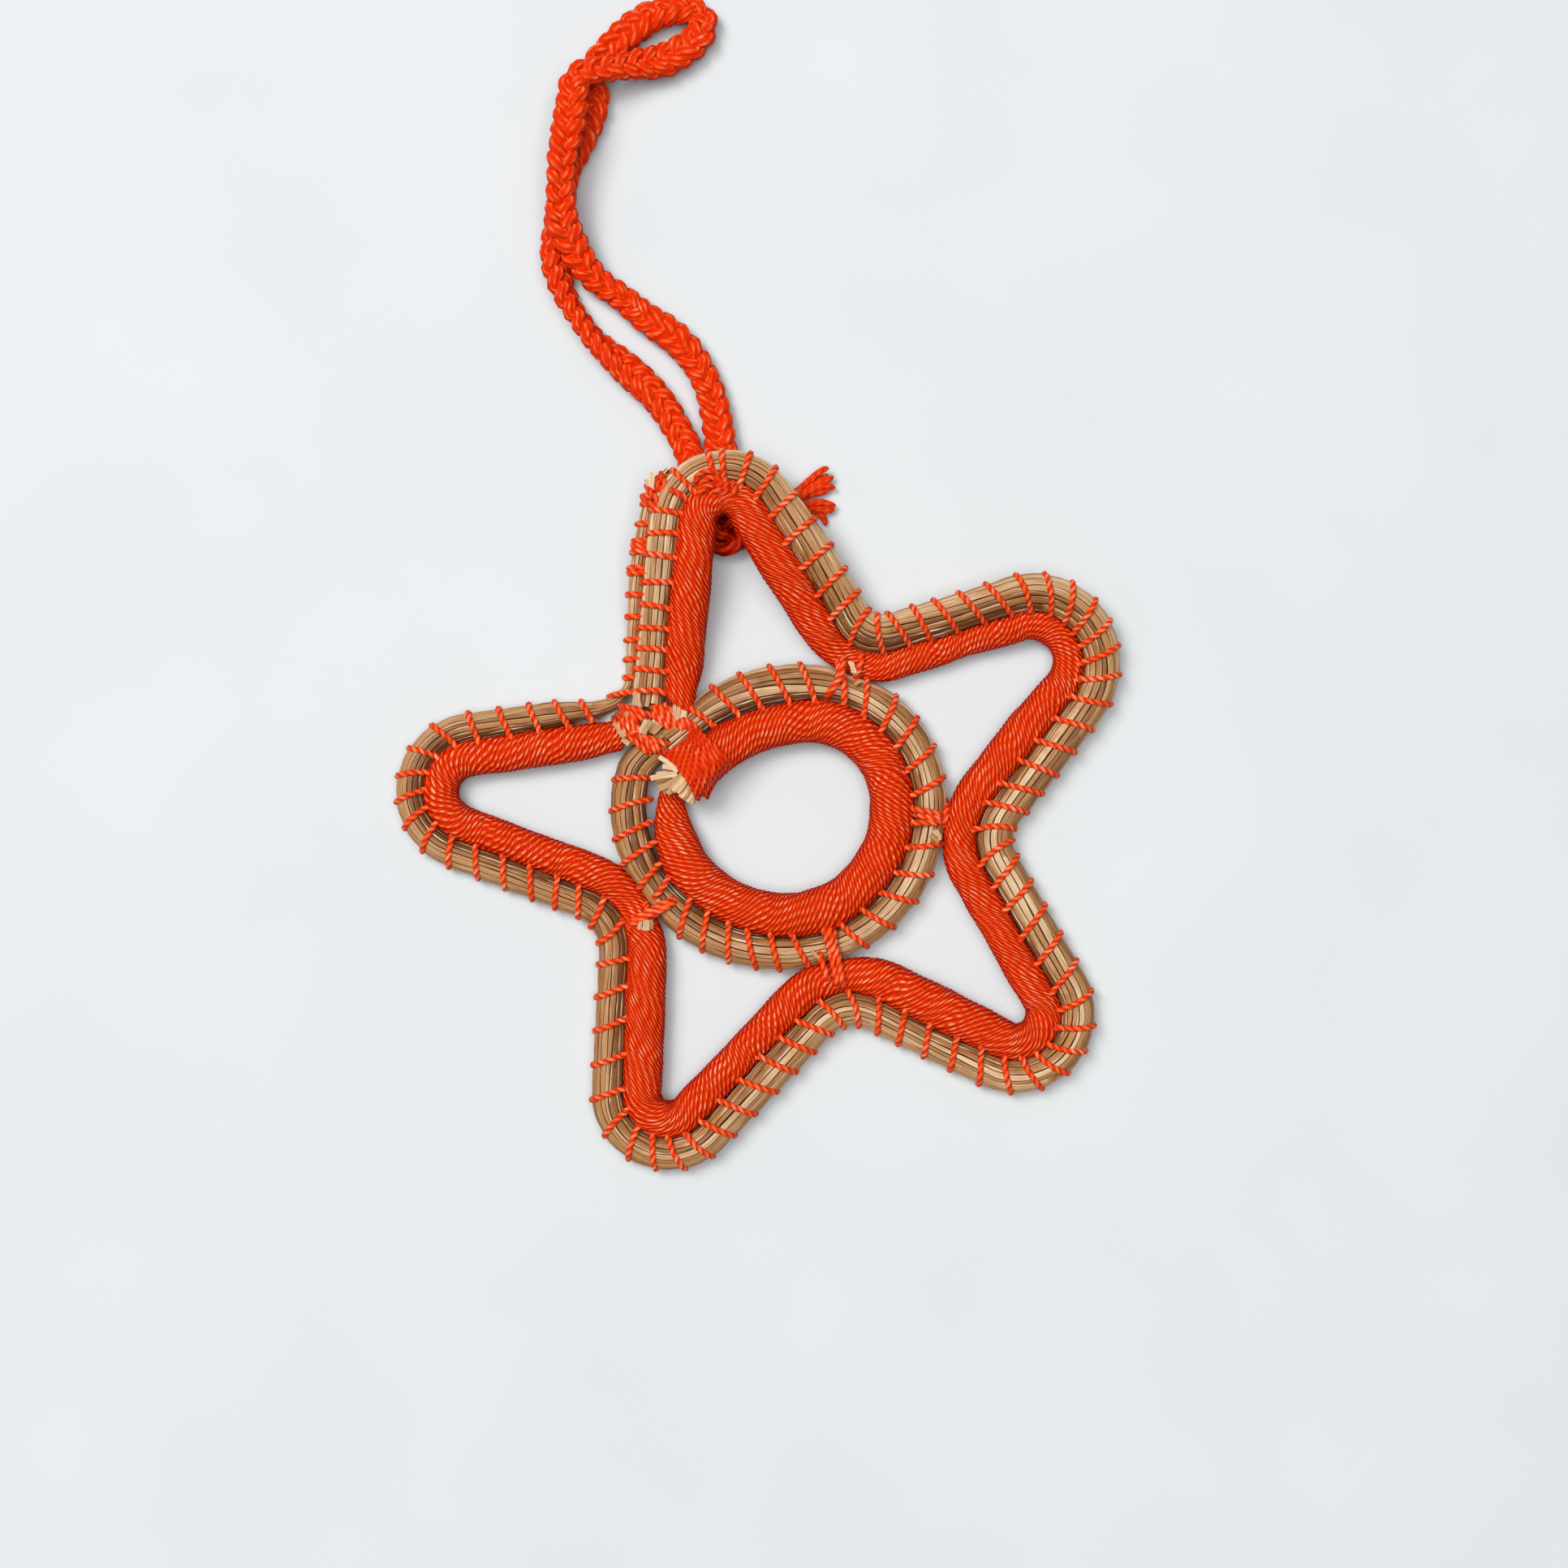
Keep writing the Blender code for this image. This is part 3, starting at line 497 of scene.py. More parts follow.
# What the photograph shows of each leg, in millimetres: how far the wrapped bundle lies further out than
# the belt and how much thicker its radius is, and the same two for the bare bundle
AS_SEEN = MM * np.array((
    (-0.2, -0.2, -0.4, 0.6), (-0.8, -0.1, -1.1, 0.0), (-0.4, -0.5, -0.9, 0.1), (-0.9, -0.1, -1.0, 0.0),
    (-0.5, -0.5, -1.0, 0.0), (-0.1, 0.0, -0.1, 0.1), (-0.2, 0.0, -0.2, -0.1), (-0.1, 0.3, -0.1, -0.3),
    (-0.2, -0.1, -0.4, 0.0), (-0.5, -0.2, -0.8, 0.0)))
# How much thinner the wraps are pulled round each tip
TIP_PULL = MM * np.array((0.5, 0.4, 0.3, 0.0, 0.0))
TIP_PULL_HALF_LENGTH = 9.0 * MM


def as_seen(distance, column):
    """One column of that table at a distance along the star, passing evenly from leg to leg."""
    return np.interp(distance, leg_middles, AS_SEEN[:, column])


def tip_pull(distance):
    """How much thinner the wrapped turn is there because of the tip that it goes round."""
    return sum(pull * np.exp(-((distance - tip) / TIP_PULL_HALF_LENGTH) ** 2)
               for tip, pull in zip(star_middles[::2], TIP_PULL))


def unpinched_wrapped_radius(distance):
    """The radius of the star's wrapped turn without its ties, which the bare turn lies against."""
    return STAR_WRAPPED_RADIUS * np.interp(distance, leg_middles, WRAPPED_FULLNESS)


def star_wrapped_radius(distance):
    """The radius of the star's wrapped turn at a distance along it."""
    places = [0.0, *valley_middles, star_wrapped_route.length]
    pinched = unpinched_wrapped_radius(distance) * pinch(distance, places, PINCHES)
    return pinched + as_seen(distance, 1) - tip_pull(distance)


def star_needle_radius(distance):
    """The radius of the bare turn beside that distance of the wrapped turn."""
    full = STAR_NEEDLE_RADIUS * np.interp(distance, leg_middles, NEEDLE_FULLNESS)
    from_tip = (distance - star_middles[0]) / TIP_THINNING_HALF_LENGTH
    return full * (1 - TIP_THINNING * np.exp(-from_tip ** 2)) + as_seen(distance, 3)


leg_radii = [float(star_wrapped_radius(middle)) * 1000 for middle in leg_middles]
print("wrapped legs", round(min(leg_radii), 1), "to", round(max(leg_radii), 1), "mm in radius")

# %% [markdown]
# ### The way of the star's bare turn
# The bare turn stands off from the wrapped one by both radii. It leaves the end of the wrapped turn in a
# bend, goes once round, and bends outward again to climb beside its own first leg.

# %% Route of the bare turn
ROUND_FROM, ROUND_SHORT = 2.5 * MM, 2.8 * MM
LEAD_CLEARANCE = 0.4 * MM
BEND_PULL = 0.4
THIRD_FROM = 2.2 * MM


def bend_between(start, start_way, end, end_way, step):
    """A cubic bend that leaves one point in one direction and reaches another in its own."""
    pull = BEND_PULL * np.linalg.norm(end - start)
    controls = (start, start + pull * start_way, end - pull * end_way, end)
    share = np.linspace(0, 1, max(3, round(np.linalg.norm(end - start) / step)))[:, None]
    weights = ((1 - share) ** 3, 3 * share * (1 - share) ** 2, 3 * share ** 2 * (1 - share), share ** 3)
    return sum(weight * control for weight, control in zip(weights, controls))


def way(line, index):
    """The unit direction of a line at one of its ends."""
    run = line[index + 1] - line[index] if index >= 0 else line[index] - line[index - 1]
    return run / np.linalg.norm(run)


round_at = np.arange(ROUND_FROM, star_wrapped_route.length - ROUND_SHORT, FINE)
stand_off = unpinched_wrapped_radius(round_at) + GAP + star_needle_radius(round_at)
stand_off += as_seen(round_at, 2) - as_seen(round_at, 3)
round_line = star_wrapped_route.along(round_at) + stand_off[:, None] * star_wrapped_route.outward(round_at)

third_to = star_middles[0] - THIRD_COIL_SHORT
third_at = np.arange(THIRD_FROM, third_to, FINE)
third_radius = np.interp(third_at, np.linspace(THIRD_FROM, third_to, 3), THIRD_COIL_RADII)
third_stand = unpinched_wrapped_radius(third_at) + 2 * star_needle_radius(third_at) + third_radius
third_stand += as_seen(third_at, 2) - as_seen(third_at, 3)
third_line = star_wrapped_route.along(third_at) + third_stand[:, None] * star_wrapped_route.outward(third_at)

lead_start = np.array(STAR_END) + way(star_line, -1) * (GAP + LEAD_CLEARANCE)
lead_in = bend_between(lead_start, way(star_line, -1), round_line[0], way(round_line, 0), FINE)
turn_up = bend_between(round_line[-1], way(round_line, -1), third_line[0], way(third_line, 0), FINE)
bare_points = np.vstack([lead_in[:-1], round_line, turn_up[1:-1], third_line])
star_needle_route = Route(bare_points)
round_marks = star_needle_route.at[len(lead_in) - 1:len(lead_in) - 1 + len(round_line)]
lead_length, round_end = round_marks[0], round_marks[-1]
third_start = star_needle_route.at[len(bare_points) - len(third_line)]
print("star's bare turn", round(star_needle_route.length * 1000), "mm, third coil from",
      round(third_start * 1000), "mm")

# %% [markdown]
# ### How thick the bare turns are
# The star's bare turn thins before it becomes the third coil, and the third coil is thickest halfway. The
# ring's bare turn is thicker near both its ends, and the ties pinch it where they pinch the star.

# %% Radii of the bare turns
END_THINNING, END_THINNING_LENGTH = 0.40, 9 * MM
# How much thicker the ring's bare turn is, in millimetres, at distances along it in millimetres
RING_THICKER_AT = (0, 12, 28, 45, 95, 115, 130, 150)
RING_THICKER = (0.2, 0.35, 0.35, 0.0, 0.0, 0.2, 0.35, 0.0)


def bare_star_radius(distance):
    """The radius of the star's bare turn at a distance along its own route."""
    full = star_needle_radius(np.interp(distance, round_marks, round_at))
    last = np.interp(distance, np.linspace(third_start, star_needle_route.length, 3), THIRD_COIL_RADII)
    share = smooth_step((distance - round_end) / (third_start - round_end))
    into_end = (distance - round_end + END_THINNING_LENGTH) / END_THINNING_LENGTH
    return full * (1 - share) * (1 - END_THINNING * smooth_step(into_end)) + last * share


ring_pinch_places = [ring_needle_route.nearest(star_wrapped_route.along(middle))
                     for middle in valley_middles]


def ring_bare_radius(distance):
    """The radius of the ring's bare turn, pinched at the ties and drawn in at both ends."""
    full = RING_NEEDLE_RADIUS + MM * np.interp(distance, MM * np.array(RING_THICKER_AT), RING_THICKER)
    return full * pinch(distance, [0.0, *ring_pinch_places, ring_needle_route.length], PINCHES)


print("the ties pinch the ring at", [round(place * 1000) for place in ring_pinch_places], "mm")

# %% [markdown]
# ### Setting it down
# The routes are measured from the middle of the ring. The whole ornament is shifted so that the middle of
# its outline lies over the origin, and the top arm is lifted where the cord passes beneath it.

# %% Shift and lift
TIP_LIFT = 5.6 * MM
LIFT_FROM = 21.0 * MM
LIFT_TO = 51.0 * MM
SHIFT = np.array([3.83, -0.96]) * MM


def lift(plan):
    """How far the top arm is raised off the ground at a plan point of the set model."""
    return TIP_LIFT * smooth_step((plan[..., 1] - LIFT_FROM) / (LIFT_TO - LIFT_FROM))


def raised(plan, height):
    """Points in space over plan points given from the ring's middle, lifted with the top arm."""
    plan = plan + SHIFT
    return np.concatenate([plan, (height + lift(plan))[..., None]], axis=-1)


def beside(route, distance, out, height):
    """Points in space so far outward from a route, at a distance along it and a height."""
    return raised(route.along(distance) + out[..., None] * route.outward(distance), height)


print("shifted by", (SHIFT * 1000).round(2), "mm")

# %% [markdown]
# ## Meshes from grids
# Every piece is one or more closed tubes. A tube is a grid of points: rows along it, places round it. Each
# end is closed by a pole at the middle of its last row. Numbers such as how deep in a groove a point lies
# are kept beside the points for the material to read.

# %% Closed tubes


class Fabric:
    """Closed tubes gathered into one mesh, with the numbers that its finish reads at each point."""

    def __init__(self, *marks):
        self.points, self.quads, self.tris, self.slots = [], [], [], []
        self.marks = {name: [] for name in marks}
        self.count = 0

    def add(self, rings, slot=0, **marks):
        """Tubes from rings[tube, row, place]. A mark is one number, or one for each of those points."""
        tubes, rows, sides = rings.shape[:3]
        ends = rings[:, [0, -1]].mean(axis=2)
        self.points.append(np.concatenate([rings.reshape(tubes, -1, 3), ends], axis=1).reshape(-1, 3))
        for name in self.marks:
            value = np.broadcast_to(marks.get(name, 0.0), (tubes, rows, sides))
            ends = value[:, [0, -1]].mean(axis=2)
            self.marks[name].append(np.concatenate([value.reshape(tubes, -1), ends], axis=1).ravel())
        size = rows * sides + 2
        first = self.count + size * np.arange(tubes)
        row = sides * np.arange(rows - 1)[:, None]
        here = np.arange(sides)
        following = (here + 1) % sides
        quad = np.stack([row + following, row + sides + following, row + sides + here, row + here], axis=-1)
        last = sides * (rows - 1)
        start_pole, end_pole = np.full(sides, rows * sides), np.full(sides, rows * sides + 1)
        fans = np.concatenate([np.stack([following, here, start_pole], axis=-1),
                               np.stack([last + here, last + following, end_pole], axis=-1)])
        self.quads.append((first[:, None, None] + quad.reshape(-1, 4)).reshape(-1, 4))
        self.tris.append((first[:, None, None] + fans).reshape(-1, 3))
        self.slots.append((slot, len(self.quads[-1]), len(self.tris[-1])))
        self.count += size * tubes

    def finish(self, name, finishes, crease=60):
        """The object, shaded smooth except where two faces meet at more than the crease angle."""
        points = np.concatenate(self.points)
        quads, tris = np.concatenate(self.quads), np.concatenate(self.tris)
        mesh = bpy.data.meshes.new(name)
        mesh.vertices.add(len(points))
        mesh.vertices.foreach_set("co", points.astype(np.float32).ravel())
        mesh.loops.add(quads.size + tris.size)
        mesh.loops.foreach_set("vertex_index", np.concatenate([quads.ravel(), tris.ravel()]).astype(np.int32))
        mesh.polygons.add(len(quads) + len(tris))
        starts = np.concatenate([4 * np.arange(len(quads)), quads.size + 3 * np.arange(len(tris))])
        mesh.polygons.foreach_set("loop_start", starts.astype(np.int32))
        slots = [np.full(quad_count, slot) for slot, quad_count, _ in self.slots]
        slots += [np.full(tri_count, slot) for slot, _, tri_count in self.slots]
        mesh.polygons.foreach_set("material_index", np.concatenate(slots).astype(np.int32))
        mesh.update(calc_edges=True)
        for mark, values in self.marks.items():
            layer = mesh.attributes.new(mark, "FLOAT", "POINT")
            layer.data.foreach_set("value", np.concatenate(values).astype(np.float32))
        for finish in finishes:
            mesh.materials.append(finish.material)
        mesh.shade_smooth()
        mesh.set_sharp_from_angle(angle=math.radians(crease))
        piece = bpy.data.objects.new(name, mesh)
        bpy.context.scene.collection.objects.link(piece)
        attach(piece, "root")
        print(name, 2 * len(quads) + len(tris), "triangles")
        return piece


def wander(places, count, wavelength, seed):
    """Smooth random waves about 0: for each of so many lines, the mean of four sines of random phase."""
    chance = np.random.default_rng(seed)
    shape = (count, 4) + (1,) * np.ndim(places)
    lengths = wavelength * chance.uniform(0.6, 1.8, shape)
    phases = chance.uniform(0, 2 * math.pi, shape)
    return np.sin(2 * math.pi * places / lengths + phases).mean(axis=1)


# %% [markdown]
# ## Coral thread
# The thread is two yarns twisted round each other, so it shows as a row of slanting strokes, bright along
# each yarn's crest and dark red in the grooves. Wherever it lies, the mesh keeps `groove`, 0 at the bottom
# of a groove and 1 on a crest, and a place to read fibres at. `paint_thread` paints light and shade into
# the colour from those: painted shade in the grooves, coral yarns, a painted highlight along each crest and
# here and there a paler painted glint, as nylon shines.

# %% Thread finish
# Coral is the thread's own colour; the groove colour is painted shade, the bright and pale ones painted
# highlights.
CORAL_IN_SHADE, CORAL = colour(138, 8, 0), colour(226, 48, 2)
CORAL_HIGHLIGHT, CORAL_GLINT = colour(255, 104, 46), colour(255, 166, 122)


def paint_thread(finish, groove, fibres, shine):
    """Painted shade in grooves, coral, painted highlights and pale glints on some crests, more if `shine` is
    high.
    """
    patches = finish.noise(finish.place(), 330.0, 2.0)
    # Painted shade down in the grooves.
    shade = (groove + 0.4 * (fibres - 0.5)).between(0.0, 0.50)
    # Painted highlight along each crest.
    crest = (groove + 0.9 * (fibres - 0.5)).between(0.62, 1.0)
    # Pale painted glints in patches, the sheen of nylon.
    light = (groove + 0.5 * (fibres - 0.5) + shine * (patches - 0.5)).between(0.84, 1.2)
    body = finish.mix(crest, finish.mix(shade, CORAL_IN_SHADE, CORAL), CORAL_HIGHLIGHT)
    finish.feed("Base Color", finish.mix(light, body, CORAL_GLINT))


def thread_finish(name, roughness, fineness, shine):
    """Loose thread: fibres run along a tube, round which `beside` and `above` are a circle."""
    finish = Finish(name, roughness, 0.08)
    beside_it, above = finish.mark("beside") * fineness, finish.mark("above") * fineness
    fibres = finish.noise(finish.vector(beside_it, above, finish.mark("run") * 0.7), 1.0, 2.0)
    paint_thread(finish, finish.mark("groove"), fibres, shine)
    finish.bump(fibres, 0.6, 0.3 * MM)
    return finish


coral_thread = thread_finish("coral_thread_laid", 0.38, 3.0, 1.0)
print("finish", coral_thread.material.name, "has", len(coral_thread.tree.nodes), "nodes")

# %% [markdown]
# ## Thread wrapped round a bundle
# Thread laid close round a core makes one surface that a formula can give. Two numbers place a point on
# it: `wrap`, the number of wraps up to there, and `lay`, the number of twists the thread has made. The
# height of the surface is the highest of the yarns that pass there. The strokes are too fine for a mesh
# of reasonable size, so the same formula is used twice: numpy gives the mesh its larger relief, and
# Math nodes give the material every stroke at full sharpness.

# %% Height of the wraps
WRAP_WIDTH = 0.90
YARN_SWING = 0.32
YARN_LIFT = 0.17
YARN_RADIUS = 0.31
HIGHEST = YARN_LIFT + YARN_RADIUS
# Each wrap's twist starts somewhere else, by the sine of its number times a step, times this many radians
TWIST_STRAY_STEP, TWIST_STRAY = 13.0, 1.8


class SignalMaths:
    """The functions that numpy has for arrays, for signals."""

    @staticmethod
    def round(value):
        return value.math("ROUND", value, 0.0)

    @staticmethod
    def sin(value):
        return value.math("SINE", value, 0.0)

    @staticmethod
    def cos(value):
        return value.math("COSINE", value, 0.0)

    @staticmethod
    def sqrt(value):
        return value.math("SQRT", value, 0.0)

    @staticmethod
    def maximum(first, second):
        return first.math("MAXIMUM", first, second)


def wrap_height(wrap, lay, maths):
    """How high the thread stands, in millimetres, for arrays with numpy or for signals.

    Both yarns of the nearest wrap and of its two neighbours are tried. A yarn turned by t has its middle
    swing*cos(t) beside the thread's line and lift*sin(t) above it, and its round section adds the root of
    radius squared less the square of the distance beside that middle. The highest wins.
    """
    nearest = maths.round(wrap)
    highest = None
    for step in (-1, 0, 1):
        number = nearest + step
        turned = lay * (2 * math.pi) + maths.sin(number * TWIST_STRAY_STEP) * TWIST_STRAY
        swing, lifted = maths.cos(turned) * YARN_SWING, maths.sin(turned) * YARN_LIFT
        aside = (wrap - number) * WRAP_WIDTH
        for sign in (1.0, -1.0):
            from_middle = aside - swing * sign
            section = maths.sqrt(maths.maximum(YARN_RADIUS ** 2 - from_middle * from_middle, 0.0))
            height = section + lifted * sign
            highest = height if highest is None else maths.maximum(highest, height)
    return highest


sampled = wrap_height(np.linspace(0, 5, 500), np.linspace(0, 3, 500), np)
print("the wraps stand", round(float(sampled.min()), 2), "to", round(float(sampled.max()), 2), "mm high")

# %% [markdown]
# ### The finish of the wraps
# The material works the height out afresh from the two numbers, so every stroke is drawn. Light that falls
# between the strokes is lost, and so is much of it down the sides of a bundle, so both are made darker.

# %% Wrapped finish
LOWEST_LIT = 0.10
SIDE_SHADE = 0.66
SIDE_SHADE_FROM, SIDE_SHADE_TO = -0.35, 0.85


def wrapped_finish(name, shine, brightest, depth, bump):
    """Close wraps: every stroke drawn by the formula, darker by `depth` in its grooves and down the sides."""
    finish = Finish(name, 0.40, 0.05)
    wrap, lay, facing_up = finish.mark("wrap"), finish.mark("lay"), finish.mark("facing_up")
    height = wrap_height(wrap, lay, SignalMaths)
    groove = (height - LOWEST_LIT) * (1 / (HIGHEST - LOWEST_LIT))
    along_yarn = finish.vector((wrap + lay * (4 * YARN_SWING / WRAP_WIDTH)) * 7.0, lay * 1.4, 0.0)
    fibres = finish.noise(along_yarn, 1.0, 2.0)
    side = 1 - facing_up.between(SIDE_SHADE_FROM, SIDE_SHADE_TO)
    lit = brightest - depth * (1 - groove) - SIDE_SHADE * side
    paint_thread(finish, lit, fibres, shine)
    finish.bump(height + 0.08 * fibres, bump, MM)
    return finish


coral_wraps = wrapped_finish("coral_thread_wrapped", 0.95, 1.0, 0.87, 0.75)
coral_cord = wrapped_finish("coral_cord_braided", 0.75, 0.87, 0.46, 0.5)
print("finishes", coral_wraps.material.name, "and", coral_cord.material.name)

# %% [markdown]
# ### A wrapped turn
# A wrapped turn is one tube with a ring of points about every fifth of a millimetre along it. Round the
# bundle the places are closer together on top and at the sides, where the wraps are seen, than beneath,
# where the count of the wraps starts again. Slow random waves make the wraps as uneven as hand work is.

# %% A wrapped turn
WRAP_TWIST = 2.75 * MM
ROW_STEP = 0.19 * MM
MESH_RELIEF = 0.6
THREAD_SUNK = 0.4 * MM
LUMP_HEIGHT = 0.12 * MM
END_ROUNDING = 0.9 * MM
ABOVE_SHEET = 0.05 * MM
# Degrees round a bundle: where its points start and end beneath, and where its sides begin
SEAM_FROM, SEAM_TO = -89.5, 269.5
SIDE_FROM, SIDE_TO = -12, 192
# How far the wraps stray from even, in wraps, and the twist in turns, and over what length
STRAY_SLOW, STRAY_QUICK, TWIST_WANDER = (0.30, 9 * MM), (0.26, 3.0 * MM), (0.35, 9 * MM)
LUMP_LENGTH = 7 * MM
WRAP_MARKS = ("wrap", "lay", "facing_up")


def places_round(above, below):
    """Angles once round from straight down: half the places beneath, then those above, then the others."""
    first = np.linspace(SEAM_FROM, SIDE_FROM, below // 2, endpoint=False)
    over = np.linspace(SIDE_FROM, SIDE_TO, above, endpoint=False)
    last = np.linspace(SIDE_TO, SEAM_TO, below - below // 2)
    return np.radians(np.concatenate([first, over, last]))


def wrapped_turn(name, node, route, start, past, radius_at, level_at, pitch_at, slant_at, fuller_at,
                 aside_at, around, seed):
    """A bundle under close wraps of thread, as a function of the distance along it and the angle round it.

    Its outer side is fuller by what it takes to touch the bare turn beside it. It runs a little past the
    route's end.
    """
    finish = route.length + past
    distance = np.linspace(start, finish, round((finish - start) / ROW_STEP))[:, None]
    angle = around + 0 * distance
    radius = radius_at(distance)
    core = radius.mean() - THREAD_SUNK
    across, over_top = distance + 2 * MM * np.cos(angle), distance + 2 * MM * np.sin(angle)
    uneven = STRAY_SLOW[0] * wander(across, 1, STRAY_SLOW[1], seed + 1)[0]
    uneven += STRAY_QUICK[0] * wander(over_top, 1, STRAY_QUICK[1], seed + 2)[0]
    wraps = np.cumsum(ROW_STEP / pitch_at(distance), axis=0)
    wrap = wraps + angle / (2 * math.pi) + uneven
    lay = core * angle / WRAP_TWIST + TWIST_WANDER[0] * wander(over_top, 1, TWIST_WANDER[1], seed + 4)[0]
    over = MM * wrap_height(wrap, lay, np)
    lump = LUMP_HEIGHT * wander(distance + 4 * MM * np.cos(angle + 1.0), 1, LUMP_LENGTH, seed + 3)[0]
    end = np.minimum(distance - start, finish - distance)
    rounding = np.sqrt(np.clip(1 - (1 - np.clip(end / END_ROUNDING, 0.0, 1.0)) ** 2, 0.35, 1))
    reach = (radius - MESH_RELIEF * HIGHEST * MM + MESH_RELIEF * over + lump) * rounding
    out = reach * np.cos(angle) + fuller_at(distance) * np.clip(np.cos(angle), 0, 1) ** 2
    up = np.maximum(level_at(distance) + reach * np.sin(angle), ABOVE_SHEET)
    rings = beside(route, distance + slant_at(distance) * out, out + aside_at(distance), up)
    fabric = Fabric(*WRAP_MARKS)
    fabric.add(rings[None], wrap=wrap, lay=lay, facing_up=np.sin(angle))
    piece = fabric.finish(name, [coral_wraps], 75)
    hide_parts(node)


# %% [markdown]
# ### How the wraps of the star and the ring differ
# The pitch of the wraps differs a little from leg to leg, and so does their lean. On the ring the pitch is
# the same all round. Where two bundles should touch, the side between them is made fuller.

# %% Wrapped turns
# For each leg of the star, the pitch of its wraps in millimetres and how far they lean, as run along the
# bundle for each unit outward
STAR_WRAP_PITCHES = (0.95, 0.95, 0.86, 0.88, 0.92, 0.92, 0.95, 0.95, 1.02, 1.02)
STAR_WRAP_SLANTS = (0.60, 0.90, -0.15, 0.30, 0.90, 0.20, 0.0, 1.15, -0.30, 0.05)
RING_WRAP_PITCH = 0.86 * MM
RING_WRAP_SLANT, RING_WRAP_SKEW, RING_SKEW_LENGTH = 0.10, 0.70, 14 * MM
FULLER_SHARE = 0.6


def star_pitch(distance):
    """The pitch of the star's wraps, passing evenly from leg to leg."""
    return MM * np.interp(distance, leg_middles, STAR_WRAP_PITCHES)


def star_slant(distance):
    """The lean of the star's wraps, passing evenly from leg to leg."""
    return np.interp(distance, leg_middles, STAR_WRAP_SLANTS)


def ring_slant(distance):
    """The ring's first wraps lie well askew, their inner ends further back. The rest lean a little."""
    return RING_WRAP_SLANT + RING_WRAP_SKEW * (1 - smooth_step(distance / RING_SKEW_LENGTH))


def star_fuller(distance):
    """Over half the gap to the bare turn, which the pinches in the valleys and the pulled tips widen."""
    drawn_in = unpinched_wrapped_radius(distance) - star_wrapped_radius(distance) + as_seen(distance, 1)
    return FULLER_SHARE * (GAP + drawn_in)


def ring_bare_fuller(distance):
    """The same share of the gap between the ring's two turns, at a distance along the bare one."""
    return FULLER_SHARE * (GAP + RING_NEEDLE_RADIUS - ring_bare_radius(distance))


def ring_fuller(distance):
    """That gap at a distance along the ring's wrapped turn."""
    across = ring_needle_route.at[np.argmin(np.linalg.norm(
        ring_wrapped_route.along(distance[:, 0])[:, None] - ring_needle_route.points, axis=2), axis=1)]
    return ring_bare_fuller(across)[:, None]


def star_aside(distance):
    """How far the star's wrapped turn lies further out than the belt."""
    return as_seen(distance, 0)


wrapped_turn("star_wrapped", "star_wrapped_turn", star_wrapped_route, -2.4 * MM, 0.9 * MM,
             star_wrapped_radius, star_wrapped_radius, star_pitch, star_slant, star_fuller, star_aside,
             places_round(30, 10), 11)
wrapped_turn("ring_wrapped", "ring_wrapped_turn", ring_wrapped_route, 0.0, 0.0,
             ring_wrapped_radius, ring_wrapped_level, lambda distance: RING_WRAP_PITCH + 0 * distance,
             ring_slant, ring_fuller, lambda distance: 0.0, places_round(40, 16), 12)

# %% [markdown]
# ## Dry needles
# Pine needles dry to tan, some to cream and some to brown. `tone` says how pale a needle is. `edge` is 1
# in the gap beside it, which gets painted shade, `lip` is 1 on the sharp rim next to the gap, which catches
# the light and gets a painted highlight, and `crown` is 1 along its middle. Each of these falls off evenly
# to both sides, so a threshold on it draws a line as thin as is wanted, and adding noise to it first
# breaks the line up along the run.

# %% Needle finish
BROWN, TAN, CREAM = colour(118, 72, 36), colour(184, 130, 78), colour(232, 204, 164)
# The rim colour is a painted highlight and the gap colour is painted shade.
HAIR_LINE, RIM_HIGHLIGHT, GAP_SHADE = colour(88, 50, 24), colour(248, 232, 204), colour(28, 11, 3)


def needle_finish():
    """Dried needles: a tone each, streaks along it, painted highlights on rims, thin painted shade in gaps
    between.
    """
    finish = Finish("dry_needles_laid", 0.48, 0.25)
    tone, run, across = finish.mark("tone"), finish.mark("run"), finish.mark("across")
    streaks = finish.noise(finish.vector(across * 8.0, run * 0.20, tone * 40.0), 1.0, 3.0)
    blotches = finish.noise(finish.vector(run * 0.12, tone * 30.0, 0.0), 1.0, 2.0)
    breaks = finish.noise(finish.vector(across * 0.9, run * 0.13, 7.0), 1.0, 2.0)
    pale = tone + 1.1 * (streaks - 0.5) + 0.5 * (blotches - 0.5)
    body = finish.mix(pale.between(-0.1, 0.5), BROWN, TAN)
    body = finish.mix(pale.between(0.5, 1.1), body, CREAM)
    # Painted highlight on the sharp rim that catches the light.
    rim_highlight = (finish.mark("lip") + 1.6 * (breaks - 0.58)).between(0.72, 0.98) * 0.8
    hair = (finish.mark("crown") + 1.5 * (streaks - 0.62)).between(0.80, 1.0) * 0.7
    # Painted shade in the gaps between needles.
    gap = (finish.mark("edge") - 1.3 * (breaks - 0.5)).between(0.44, 0.62)
    body = finish.mix(rim_highlight, finish.mix(hair, body, HAIR_LINE), RIM_HIGHLIGHT)
    finish.feed("Base Color", finish.mix(gap, body, GAP_SHADE))
    finish.bump(streaks, 0.5, 0.12 * MM)
    return finish


dry_needles = needle_finish()
print("finish", dry_needles.material.name, "has", len(dry_needles.tree.nodes), "nodes")

# %% [markdown]
# ## A bundle of bare needles
# Seen from outside, a bundle is a ring of needles side by side round a dark middle. The lines between
# them wander a little, each needle stands a little higher or lower than its neighbours, and one gives
# way to another along the run. So one surface does for all of them: round the bundle each needle has four
# places, a groove, a shoulder, a crown and a shoulder, and the radius dips in at the grooves. The
# stitches draw the bundle in slightly. At its ends each needle stops at a length of its own.

